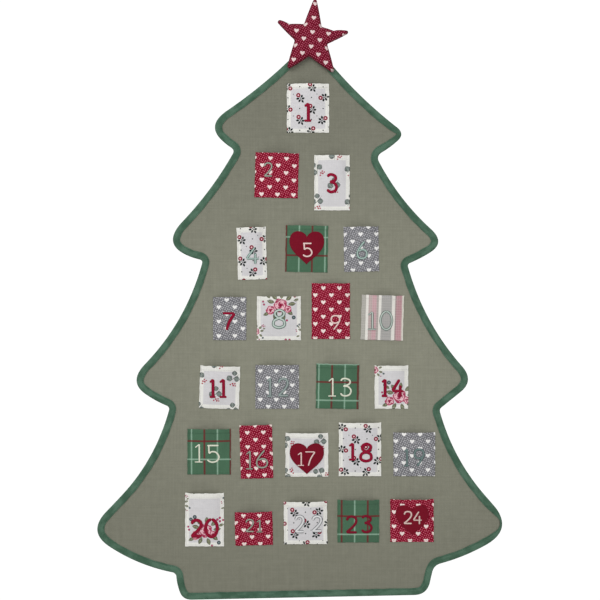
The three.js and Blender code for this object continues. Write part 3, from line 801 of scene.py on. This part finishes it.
def dimmed(colour, shade):
    """A colour times a shade near 1."""
    return mixed(1.0, colour, joined(shade, shade, shade), "MULTIPLY")


def inside(value, limit, soft):
    """1 where a value is under its limit, 0 above it, with a soft edge."""
    return ranged(value, limit - soft, limit + soft, 1.0, 0.0)


def rgb(red, green, blue):
    """A colour given as a screen shows it, from 0 to 255, as linear values."""
    shares = [c / 255 for c in (red, green, blue)]
    return tuple(c / 12.92 if c < 0.04045 else ((c + 0.055) / 1.055) ** 2.4 for c in shares) + (1.0,)


def shifted(colour, step):
    """A screen colour made lighter or darker by a step."""
    return rgb(*(c + step for c in colour))


def node_group(name, draw, inputs, outputs):
    """A node group. Its inputs go as wires to draw, which gives a wire for each output."""
    tree = bpy.data.node_groups.new(name, "ShaderNodeTree")
    for way, sockets in (("INPUT", inputs), ("OUTPUT", outputs)):
        for key, kind in sockets.items():
            tree.interface.new_socket(key, in_out=way, socket_type="NodeSocket" + kind)
    given = tree.nodes.new("NodeGroupInput").outputs[:len(inputs)]
    results = draw(*[Wire(socket) for socket in given])
    for wire, socket in zip(results, tree.nodes.new("NodeGroupOutput").inputs):
        put(wire, socket)
    return tree


def print_group(name, draw, **colours):
    """A node group that draws a print from a place in millimetres and the colours it is given."""
    return node_group(name, lambda *given: [draw(*given)], {"Place": "Vector", **colours}, {"Colour": "Color"})


def used(group, *values):
    """Adds a node group and gives all its outputs."""
    node = add(tree_of(*values), "Group", values, node_tree=group).socket.node
    return [Wire(socket) for socket in node.outputs]


def weave(place, pitch, slubs):
    """Plain weave: from a place in millimetres and a thread pitch, the threads' height, and a shade near 1 with
    painted shade between threads, a little painted light on their tops, and tone that varies along uneven ones."""
    rows = [calc("POWER", calc("ABSOLUTE", calc("SINE", along / pitch * math.pi)), 0.7) for along in parts(place)]
    squares = {"Vector": vec("DIVIDE", place, joined(pitch, pitch)), "Scale": 1.0}
    checks = add(place.tree, "TexChecker", squares, 1)
    height = rows[0] * checks + rows[1] * (1.0 - checks)
    streaks = [noise(vec("MULTIPLY", place, way), 1.0, 3.0) for way in ((0.55, 0.022, 0.0), (0.02, 0.5, 0.0))]
    uneven = ranged(streaks[0], 0.3, 0.7, -1, 1) + ranged(streaks[1], 0.3, 0.7, -1, 1)
    return height + uneven * 0.3, ranged(height, 0.0, 1.0, 0.86, 1.05, "LINEAR") + uneven * slubs


def satin_thread(place, edge):
    """Satin thread: ridges across a stroke, and a shade near 1: painted shade that darkens between threads and at
    the stroke's edge, and a little painted light on the ridges.
    """
    along, across = parts(place)
    ridge = calc("ABSOLUTE", calc("SINE", (along + across * 0.12) * (math.pi / 0.42)))
    return ridge, ranged(ridge, 0.0, 0.7, 0.88, 1.04) * ranged(edge, 0.6, 1.0, 1.0, 0.78)


def cell(place, pitch, shift=(0, 0)):
    """Place folded into cells of a lattice, measured from each cell's middle, and a whole number for each cell."""
    scaled = vec("DIVIDE", vec("ADD", place, (shift[0] + pitch[0] / 2, shift[1] + pitch[1] / 2, 0.0)), (*pitch, 1.0))
    whole = vec("FLOOR", scaled)
    share = vec("SUBTRACT", vec("SUBTRACT", scaled, whole), (0.5, 0.5, 0.0))
    return vec("MULTIPLY", share, (*pitch, 0.0)), whole


def staggered(pitch):
    """The shifts of a print's two lattices: the cells of the second lie between those of the first."""
    return (0, 0), (pitch[0] / 2, pitch[1] / 2)


def strewn(place, pitch, shift, swing):
    """Place in cells of a lattice, each cell's print turned by its own random angle."""
    local, whole = cell(place, pitch, shift)
    chance = add(place.tree, "TexWhiteNoise", {"Vector": whole}, noise_dimensions="3D")
    return turned(local, (chance - 0.5) * swing)


def from_point(local, x, z):
    """Place measured from a point, and its distance from there."""
    moved = vec("SUBTRACT", local, (x, z, 0.0))
    return moved, vec("LENGTH", moved, out=1)


def heart_mask(local, wide, tall):
    """1 inside a heart about the origin: x squared plus (z less a root of x) squared is under 1."""
    x, z = parts(local)
    x = calc("ABSOLUTE", x) / (wide / 2)
    lifted = z / (tall / 2.55) + 0.28 - calc("POWER", x, 0.56) * 0.98
    return inside(x * x + lifted * lifted, 1.0, 0.12)


def hearts_print(place, ground, dots, hearts, dot_size):
    """A staggered print of small hearts on tiny pin dots."""
    pitch, size = (28, 25.2), (8.0, 7.6)
    masks = [heart_mask(cell(place, pitch, shift)[0], *size) for shift in staggered(pitch)]
    scattered = {"Vector": turned(place, 0.42), "Scale": 0.28, "Randomness": 0.35}
    spots = add(place.tree, "TexVoronoi", scattered, voronoi_dimensions="2D")
    dotted = mixed(ranged(spots - dot_size, -0.04, 0.04, 1.0, 0.0), ground, dots)
    return mixed(calc("MAXIMUM", *masks), dotted, hearts)


def line_mask(coordinate, pitch, shift, width):
    """Lines across a coordinate, one for each pitch."""
    folded = calc("WRAP", coordinate + (shift + pitch / 2), pitch, 0.0) - pitch / 2
    return inside(calc("ABSOLUTE", folded), width / 2, 0.3)


def plaid_print(place):
    """Green cloth with thin red and pale mint lines, turn about, both ways, and faint lighter bands beside them."""
    (x, z), (wide, tall) = parts(place), (45.5, 64)
    bands = calc("MAXIMUM", line_mask(x, wide, 11.4, 19), line_mask(z, tall, 16, 27))
    colour = mixed(bands * 0.35, rgb(75, 108, 85), rgb(84, 124, 96))
    for coordinate, pitch in ((x, wide), (z, tall)):
        mint, pale, red = (pitch / 2, 3.4, 0.42), (pitch / 2, 1.3, 0.45), (0, 3.2, 0.82)
        for (shift, width, strength), dye in ((mint, (140, 182, 156)), (pale, (190, 214, 196)), (red, (116, 34, 42))):
            colour = mixed(line_mask(coordinate, pitch, shift, width) * strength, colour, rgb(*dye))
    return colour


# Where each woven stripe begins, in millimetres from the cloth's left edge, and its colour
STRIPES_WIDTH = 76
STRIPES_START = 37.5
STRIPES = [
    (0, (177, 175, 167)), (7.9, (236, 233, 226)), (12.7, (192, 172, 170)), (19, (202, 162, 168)),
    (26.4, (176, 165, 161)), (30.2, (236, 233, 226)), (34.9, (170, 168, 166)), (53.3, (236, 233, 226)),
    (58.8, (170, 148, 148)), (61.2, (193, 147, 154)), (71.2, (226, 222, 210)),
]


def stripes_print(place):
    """Woven stripes across the cloth: cream, grey and pink, with fine pale lines crossing them."""
    x, z = parts(place)
    woven = add(place.tree, "ValToRGB", [(x + STRIPES_START) / STRIPES_WIDTH])
    ramp = woven.socket.node.color_ramp
    ramp.interpolation = "CONSTANT"
    for start, dye in STRIPES:
        step = ramp.elements.new(start / STRIPES_WIDTH) if start else ramp.elements[0]
        step.color = rgb(*dye)
    ramp.elements[-1].color = rgb(*STRIPES[-1][1])
    lines = calc("MAXIMUM", line_mask(z, 4.4, 0, 1.0), line_mask(x, 3.6, 0, 0.8))
    return mixed(lines * 0.22, woven, rgb(236, 232, 226))


def leaf_mask(local, x, z, angle, length, width):
    """1 inside a pointed leaf, from its middle, the way it points in degrees, its length and width. Also its dark
    edge and the line along its middle."""
    c, s = math.cos(math.radians(angle)), math.sin(math.radians(angle))
    dx, dz = parts(vec("SUBTRACT", local, (x, z, 0.0)))
    along = dx * (c * 2 / length) + dz * (s * 2 / length)
    side = calc("ABSOLUTE", dx * (-s * 2 / width) + dz * (c * 2 / width))
    value = side + along * along
    return inside(value, 1.0, 0.1), ranged(value, 0.62, 0.95), inside(side, 0.09, 0.06)


def leafy(colour, local, leaves, dark, light, rim):
    """Leaves laid over a colour: mottled between a dark and a light green, with a dark edge and a pale middle line."""
    fill = mixed(ranged(noise(local, 0.6, 3.0), 0.35, 0.65), rgb(*dark), rgb(*light))
    for leaf in leaves:
        mask, edge, vein = leaf_mask(local, *leaf)
        green = mixed(edge * 0.75, mixed(vein * 0.5, fill, shifted(light, 36)), rgb(*rim))
        colour = mixed(mask, colour, green)
    return colour


def berries(colour, local, places, outer, inner, hole=0.46):
    """Round berries laid over a colour, each with its own middle colour: x, z, radius."""
    for x, z, radius in places:
        reach = from_point(local, x, z)[1]
        berry = inside(reach, radius, 0.25)
        colour = mixed(berry, colour, mixed(inside(reach, radius * hole, 0.3), rgb(*outer), rgb(*inner)))
    return colour


def sprig_print(place, colour):
    """White cloth with staggered small sprigs, each a dark stem with slender leaves on both sides and a red ring
    berry at its end, turned differently from cell to cell, and tiny dots between them."""
    sprig = [(-4.3, 0.7, 152, 6.6, 4.0), (4.5, -0.8, 32, 6.4, 3.9), (-4.1, -4.5, 196, 6.6, 4.0),
             (3.7, -5.7, -24, 6.4, 3.9), (-0.6, -9.0, 262, 6.6, 3.8), (0.2, -1.8, 86, 11, 1.3)]
    pitch = (41, 38)
    for shift in staggered(pitch):
        local = vec("MULTIPLY", strewn(place, pitch, shift, 5.4), (1.08, 1.08, 0.0))
        colour = leafy(colour, local, sprig, (10, 18, 18), (26, 38, 36), (12, 18, 20))
        colour = berries(colour, local, [(0.8, 5.0, 4.1)], (138, 8, 44), (238, 206, 210), 0.38)
        between = cell(place, pitch, (shift[0] + pitch[0] / 2, shift[1]))[0]
        colour = berries(colour, between, [(0, 0, 1.1), (9.5, 6, 0.8)], (44, 52, 52), (44, 52, 52))
    return colour


def leaves_print(place, colour):
    """White cloth with wide-spaced branches of round grey-green leaves and clusters of small red berries."""
    stem = [(0, 0, 70, 26, 1.0)]
    rounds = [(-6.4, -3.4, 160, 10.6, 10.4), (5.2, 2.2, 24, 10.4, 10), (-3.4, 8.6, 120, 9.4, 9.2)]
    red = [(3.6, -8.6, 1.5), (7.0, -6.6, 1.3), (6.4, -10.6, 1.5), (1.2, -12.0, 1.3), (9.6, -9.4, 1.2)]
    pitch = (60, 56)
    for shift in staggered(pitch):
        local = strewn(place, pitch, shift, 3.4)
        colour = leafy(colour, local, stem, (104, 112, 96), (120, 126, 104), (100, 108, 92))
        colour = leafy(colour, local, rounds, (92, 104, 100), (146, 154, 148), (46, 56, 56))
        colour = berries(colour, local, red, (158, 18, 48), (196, 66, 88))
    return colour


def rose(colour, local, x, z, radius):
    """A rose laid over a colour: broken rings of pale petals on crimson, with a lobed edge and a dark heart."""
    moved, reach = from_point(local, x, z)
    angle = calc("ARCTAN2", *parts(moved)[::-1])
    edge = inside(reach + calc("SINE", angle * 5.0) * (0.09 * radius), radius, 0.3)
    lobes = calc("SINE", angle * 3.0 + reach) * 1.2
    rings = reach * (10.0 / radius) + lobes + noise(moved, 0.4) * 5.0
    deep = mixed(ranged(noise(moved, 0.8), 0.4, 0.6), rgb(150, 34, 70), rgb(196, 84, 116))
    pale = mixed(ranged(noise(moved, 0.55, 3.0), 0.4, 0.6), rgb(230, 154, 174), rgb(248, 220, 222))
    pink = mixed(ranged(calc("SINE", rings), -0.35, 0.45), deep, pale)
    return mixed(edge, colour, mixed(inside(reach, radius * 0.2, 0.5), pink, rgb(140, 20, 52)))


def roses_print(place, colour):
    """White cloth with wide-spaced bunches: roses, olive leaves round them, small grey-blue flowers and berries."""
    leaves = [(-15, 3, 176, 11, 6), (-11, 11, 140, 11, 6), (-1, 15, 96, 11, 5.6), (10, 13, 54, 11, 6),
              (16, 5, 18, 11, 5.8), (15, -8, -28, 11, 6), (7, -15, -62, 11, 5.6), (-5, -16, 254, 11, 5.6),
              (-18, -16, 214, 10, 5), (21, 12, 30, 8, 4), (-20, 10, 150, 8, 4)]
    roses = [(0, 0, 10), (-13, -9.5, 6.6), (11.5, -3.5, 5.4)]
    red = [(14, 19, 1.8), (18, 17, 1.7), (17, 22, 1.7), (22, 19.5, 1.6), (-24, -3, 1.6), (-26, 1, 1.5),
           (13, -20, 1.6)]
    blue = [(-19, 17, 2.9), (-24, 12.5, 2.6), (22, -14, 2.8)]
    pitch = (86, 92)
    for shift, extent, shown in zip(staggered(pitch), (1.2, 0.62), (roses, roses[:1])):
        local = vec("MULTIPLY", strewn(place, pitch, shift, 1.6), (1 / extent, 1 / extent, 0.0))
        colour = leafy(colour, local, leaves, (84, 90, 66), (150, 152, 122), (58, 62, 50))
        for flower in shown:
            colour = rose(colour, local, *flower)
        colour = berries(colour, local, red, (150, 28, 78), (206, 92, 130))
        colour = berries(colour, local, blue, (62, 76, 80), (132, 146, 148))
    return colour


HEIGHT_AND_SHADE = {"Height": "Float", "Shade": "Float"}
WEAVE = node_group("plain weave", weave, {"Place": "Vector", "Pitch": "Float", "Slubs": "Float"}, HEIGHT_AND_SHADE)
SATIN = node_group("satin thread", satin_thread, {"Place": "Vector", "Edge": "Float"}, HEIGHT_AND_SHADE)
HEARTS_PRINT = print_group("hearts on dots", hearts_print,
                           **{"Ground": "Color", "Dots": "Color", "Hearts": "Color", "Dot size": "Float"})
PLAID = print_group("plaid", plaid_print)
STRIPED = print_group("stripes", stripes_print)
SPRIG = print_group("sprig print", sprig_print, Ground="Color")
LEAVES = print_group("leaf print", leaves_print, Ground="Color")
ROSES = print_group("rose print", roses_print, Ground="Color")


def new_material(name, roughness, sheen=0.0):
    """A new material, its shader's inputs, and the cloth's own place in millimetres."""
    material = bpy.data.materials.new(name)
    material.use_nodes = True
    shader = material.node_tree.nodes["Principled BSDF"].inputs
    put(roughness, shader["Roughness"])
    put(0.12, shader["Specular IOR Level"])
    if sheen:
        put(sheen, shader["Sheen Weight"])
        put(0.5, shader["Sheen Roughness"])
    place = vec("MULTIPLY", add(material.node_tree, "UVMap", uv_map="cloth"), (1000, 1000, 0))
    return material, shader, place


def edge_distance(place):
    """How far a place is from its cloth's edge, or in thread how far across the stroke, from its own attribute."""
    return add(place.tree, "Attribute", (), 2, attribute_name="edge")


def dressed(shader, colour, height, strength, distance):
    """Puts a colour and a relief on a shader."""
    put(colour, shader["Base Color"])
    put(add(height.tree, "Bump", {"Strength": strength, "Distance": distance, "Height": height}), shader["Normal"])


def finish_cloth(shader, place, colour, pitch=0.46, slubs=0.02, relief=0.45, uneven=0.03):
    """Weave over a colour: threads darken it with painted shade between them and raise it, and a slow mottling
    keeps it from being even.
    """
    height, shade = used(WEAVE, place, pitch, slubs)
    mottle = ranged(noise(place, 0.08, 4.0, 0.7), 0.3, 0.7, 1 - uneven, 1 + uneven, "LINEAR")
    dressed(shader, dimmed(colour, shade * mottle), height * 0.25 + noise(place, 0.09) * 1.5, relief, 0.001)


def linen(name, colour, pitch=0.85, streaky=3.0):
    """Linen with faint thicker threads both ways, and painted light: a little lighter round the middle of the tree,
    darker towards its edges and its top.
    """
    material, shader, place = new_material(name, 0.92, 0.05)
    ways = (0.4, 0.012, 0.0), (0.012, 0.4, 0.0)
    streaks = [ranged(noise(vec("MULTIPLY", place, way), 1.0), 0.3, 0.7, -0.5, 0.5) for way in ways]
    base = mixed(ranged(streaks[0] + streaks[1], -1.0, 1.0), shifted(colour, -streaky), shifted(colour, streaky))
    # Painted light: a pool of light on the middle of the tree, fading towards its edges, and a little shade near its
    # top.
    away = vec("LENGTH", vec("MULTIPLY", vec("SUBTRACT", place, (30, -560, 0)), (0.8, 1.0, 0.0)), out=1)
    painted_light = ranged(away, 60, 450, 1.065, 0.84) * ranged(parts(place)[1], -270, -110, 1.0, 0.955)
    finish_cloth(shader, place, dimmed(base, painted_light), pitch, 0.006, 0.5, 0.05)
    return material


def tape(name, colour, turn=0.7854, pitch=0.5):
    """Cotton tape, its weave on the slant, worn a little lighter in patches."""
    material, shader, place = new_material(name, 0.85, 0.06)
    patches = noise(vec("MULTIPLY", place, (0.045, 0.08, 0.0)), 1.0, 3.0)
    base = mixed(ranged(patches, 0.34, 0.66), shifted(colour, -10), shifted(colour, 11))
    finish_cloth(shader, turned(place, turn), base, pitch, relief=0.5)
    return material


def print_cloth(name, group, colours):
    """The pockets' cotton, with one of the prints; pale cloths are brighter where two layers lie on each other."""
    material, shader, place = new_material(name, 0.88, 0.04)
    if colours is None:
        doubled = ranged(edge_distance(place), 6.2, 7.4, 1.0, 0.0)
        colours = [mixed(doubled, rgb(219, 217, 219), rgb(240, 239, 233))]
    finish_cloth(shader, place, used(group, place, *colours)[0])
    return material


def star_cloth():
    """The star's red print, with painted shade: darker towards its seam, where the stuffed cloth draws in."""
    material, shader, place = new_material("star cotton", 0.85, 0.05)
    colour = used(HEARTS_PRINT, place, rgb(110, 3, 32), rgb(208, 102, 128), rgb(238, 214, 212), 0.215)[0]
    # Painted shade towards the seam, where the stuffed star turns away from the light.
    near = ranged(edge_distance(place), 0.0, 6.0, 1.0, 0.0)
    finish_cloth(shader, place, mixed(near * 0.55, colour, rgb(74, 8, 24)))
    return material


def plain_cloth(name, colour, rim=None):
    """Plain cotton or sewing thread, with a stitched rim in another colour where one is given."""
    material, shader, place = new_material(name, 0.85, 0.03)
    base = rgb(*colour)
    if rim:
        stitched = ranged(edge_distance(place), 1.6, 2.6, 1.0, 0.0)
        base = mixed(stitched, base, mixed(ranged(noise(place, 1.6), 0.4, 0.6), rgb(*rim), shifted(rim, 8)))
    finish_cloth(shader, place, base, slubs=0.03)
    return material


def thread(name, colour, rim=None):
    """Embroidery thread: a soft shine on ridges that run across the stroke, partly painted light, with painted shade
    between them, and a darker outline on some that is partly painted shadow along the stroke's sides.
    """
    material, shader, place = new_material(name, 0.55)
    edge = edge_distance(place)
    base = rgb(*colour)
    # The outline at the stroke's sides: painted shadow, on some threads partly a darker outline thread as well.
    if rim:
        base = mixed(ranged(edge, 0.44, 0.7), base, rgb(*rim))
    ridge, shade = used(SATIN, place, edge)
    dressed(shader, dimmed(base, shade), ridge, 0.5, 0.0006)
    return material


def stuffing(name, colour, scale):
    """Felt or filling: tangled fibres as fine noise in colour and relief."""
    material, shader, place = new_material(name, 0.95, 0.2)
    fibres = noise(place, scale, 6.0, 0.7)
    tufts = mixed(ranged(fibres, 0.35, 0.65), shifted(colour, -14), shifted(colour, 8))
    dressed(shader, tufts, fibres, 0.6, 0.002)
    return material


# Each embroidery thread's colour and, where the stroke has one, its outline's. The white and grey mint outlines
#  are painted shadow along the raised stroke's sides; the others are partly darker thread, partly painted shade.
THREADS = {
    "crimson": [(155, 17, 52)], "dark_crimson": [(134, 20, 45)], "grey_mint": [(174, 178, 164), (92, 78, 76)],
    "cream": [(242, 243, 224)], "dull_cream": [(232, 204, 196)], "pale_pink": [(252, 222, 217)],
    "pale_teal": [(184, 206, 198), (84, 124, 112)], "mint": [(206, 221, 213), (30, 90, 70)],
    "faint_mint": [(162, 175, 172), (104, 120, 118)], "teal": [(204, 215, 207), (34, 88, 72)],
    "dark_teal": [(124, 144, 142), (78, 102, 100)], "white": [(240, 240, 241), (138, 140, 144)],
}
# Each pocket cloth: the record's slot, its print, the print's colours, or None for a print on white, and the
# colour of its seams
CLOTHS = {
    "sprig": ("print_sprig_cotton", SPRIG, None, (214, 213, 210)),
    "leaves": ("print_leaf_cotton", LEAVES, None, (214, 213, 210)),
    "roses": ("print_rose_cotton", ROSES, None, (214, 213, 210)),
    "red_hearts": ("print_red_hearts_cotton", HEARTS_PRINT,
                   (rgb(134, 4, 38), rgb(240, 122, 146), rgb(252, 232, 228), 0.215), (150, 34, 58)),
    "grey_hearts": ("print_grey_hearts_cotton", HEARTS_PRINT,
                    (rgb(122, 122, 126), rgb(208, 207, 211), rgb(248, 247, 245), 0.25), (120, 120, 130)),
    "plaid": ("plaid_cotton", PLAID, (), (66, 100, 80)),
    "stripes": ("striped_cotton", STRIPED, (), (216, 212, 206)),
}


# Pieces, their materials and what they stand for

def placed(piece, material, slot, *nodes):
    """Gives a piece its material, hangs it on the root body, and hides the CAD nodes it stands for. The slot is not
    used.
    """
    piece.data.materials.append(material)
    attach(piece, "root")
    if nodes:
        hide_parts(*nodes)
    return piece


SIDES = side_places(4.0)

green_thread = plain_cloth("green thread", (66, 100, 80))
placed(hanging_loop(), tape("loop tape", (74, 112, 90), 0.0), "green_loop_tape", "hanging_loop")
felt = tree_sheet("felt", SHEET_INSET, flat_depth(FELT_FRONT), flat_depth(FELT_REAR), FELT_TOP, 120, 61)
placed(felt, stuffing("white felt", (222, 219, 210), 0.6), "white_felt", "interlining")
backing = tree_sheet("backing_cloth", SHEET_INSET, flat_depth(BACKING_FRONT), flat_depth(BACKING_REAR, 0.08, 5))
placed(backing, linen("backing cotton", (138, 140, 130), 0.6, 2.0), "backing_cotton", "backing_panel")
panel = tree_sheet("linen_panel", SHEET_INSET, panel_front, flat_depth(PANEL_REAR))
placed(panel, linen("sage linen", (140, 140, 125)), "sage_linen", "front_panel")
binding = placed(edge_binding(), tape("binding tape", (78, 109, 90)), "green_binding_tape",
                 "edge_binding", "trunk_binding")


def lap_line(depth, turned_in=0):
    """The line along a lap at a depth from the outer fold, or nearer to it where the lap turns in."""
    reach = np.minimum(LIMIT, BINDING_WIDTH)
    line = OUTLINE + INWARD * (np.minimum(depth, reach - 0.4) - turned_in)[:, None]
    return [np.vstack([line, line[:1]])]


front_seam = stitches("binding_stitches", lap_line(LAP_SEAM, TURNED_IN), lambda x, z: (0 * x + LAP_DIP, -1), 3.6, 2.6)
rear_seam = stitches("rear_binding_stitches", lap_line(LAP_SEAM), lambda x, z: (0 * x, 1), 3.6, 2.6, 0.55, 0.2)
for seam in (front_seam, rear_seam):
    placed(seam, green_thread, "sewing_thread")

star_print = star_cloth()
star_front = star_half("star_front_cloth", STAR_SEAM - 0.15, 9.3, 0.9, -1)
star_back = star_half("star_back_cloth", STAR_SEAM + 0.15, 4.0, 0.8, 1)
filling = star_half("filling", STAR_SEAM, 8.6)
for half in (star_front, star_back):
    placed(half, star_print, "star_cotton", half.name.replace("_cloth", ""))
placed(filling, stuffing("polyester filling", (240, 239, 234), 0.25), "polyester_filling", "star_filling")

cloths, seams = {}, {}
for kind, (slot, group, colours, seam_colour) in CLOTHS.items():
    cloths[kind] = print_cloth(slot.replace("print_", "").replace("_", " "), group, colours)
    seams[kind] = plain_cloth(f"{kind} thread", seam_colour)
threads = {name: thread(f"{name} thread", *colours) for name, colours in THREADS.items()}
dark_red = plain_cloth("dark red cotton", (124, 15, 37), (116, 12, 33))

for day, (_, _, width, height, _, kind, _) in POCKETS.items():
    cloth = placed(pocket(day), cloths[kind], CLOTHS[kind][0], f"pocket_{day:02d}")
    half, low, top, hem = width / 2 - SEAM_INSET, SEAM_INSET, height - HEM_SEAM, height - POCKET_HEM + HEM_SEAM
    lines = ([(-half, top), (-half, low), (half, low), (half, top)], [(-half - 1, hem), (half + 1, hem)])
    paths = [np.stack(to_world(day, *np.array(line, float).T), -1) for line in lines]
    seam = stitches(f"pocket_stitches_{day:02d}", paths,
                    lambda x, z, day=day: (pocket_front(day, *to_pocket(day, x, z)), -1), 2.9, 2.2, 0.5, 0.22)
    placed(seam, seams[kind], "sewing_thread")
    if day in HEARTS:
        patch = placed(heart_patch(day), dark_red, "dark_red_cotton", f"heart_patch_{day:02d}")
    placed(satin(day), threads[NUMBERS[day][0]], "embroidery_thread")


# Camera, light and floor

scene = bpy.context.scene
camera_data = bpy.data.cameras.new("camera")
camera_data.lens = 119.8
camera_data.sensor_width = 36
camera_data.clip_end = 50
camera = bpy.data.objects.new("camera", camera_data)
camera.location = (-0.021, -3.5, -0.49175)
camera.rotation_euler = (math.pi / 2, 0, 0)
scene.collection.objects.link(camera)
scene.camera = camera


def area_light(name, place, size, power):
    """A square light that points at the middle of the tree."""
    data = bpy.data.lights.new(name, "AREA")
    data.size, data.energy = size, power
    light = bpy.data.objects.new(name, data)
    light.location = place
    x, y, z = np.array((0, 0, -0.5)) - place
    light.rotation_euler = (math.pi / 2 + math.atan2(z, math.hypot(x, y)), 0, math.atan2(-x, y))
    scene.collection.objects.link(light)


area_light("key", (-1.3, -2.3, 1.5), 1.6, 38)
area_light("fill", (2.2, -2.6, -0.1), 2.2, 10)

# A white surround for the camera and a softer one for the light it gives
world = bpy.data.worlds.new("studio")
world.use_nodes = True
scene.world = world
sky = world.node_tree
sky.nodes.clear()
shown, soft = (add(sky, "Background", ((1, 1, 1, 1), strength)) for strength in (1.05, 0.62))
surround = add(sky, "MixShader", (add(sky, "LightPath"), soft, shown))
put(surround, sky.nodes.new("ShaderNodeOutputWorld").inputs[0])
scene.view_settings.view_transform = "Standard"

floor_points = np.array([(x, y, z) for z in (-1130, -1124) for y in (-1500, 600) for x in (-1400, 1400)], float)
floor_sides = np.array([(0, 1, 3, 2), (4, 6, 7, 5), (0, 4, 5, 1), (2, 3, 7, 6), (0, 2, 6, 4), (1, 5, 7, 3)])
floor = made("floor", floor_points, [floor_sides], floor_points[:, :2])
floor.data.polygons.foreach_set("use_smooth", np.zeros(len(floor_sides), bool))
floor.data.materials.append(stuffing("pale floor", (236, 236, 234), 0.05))
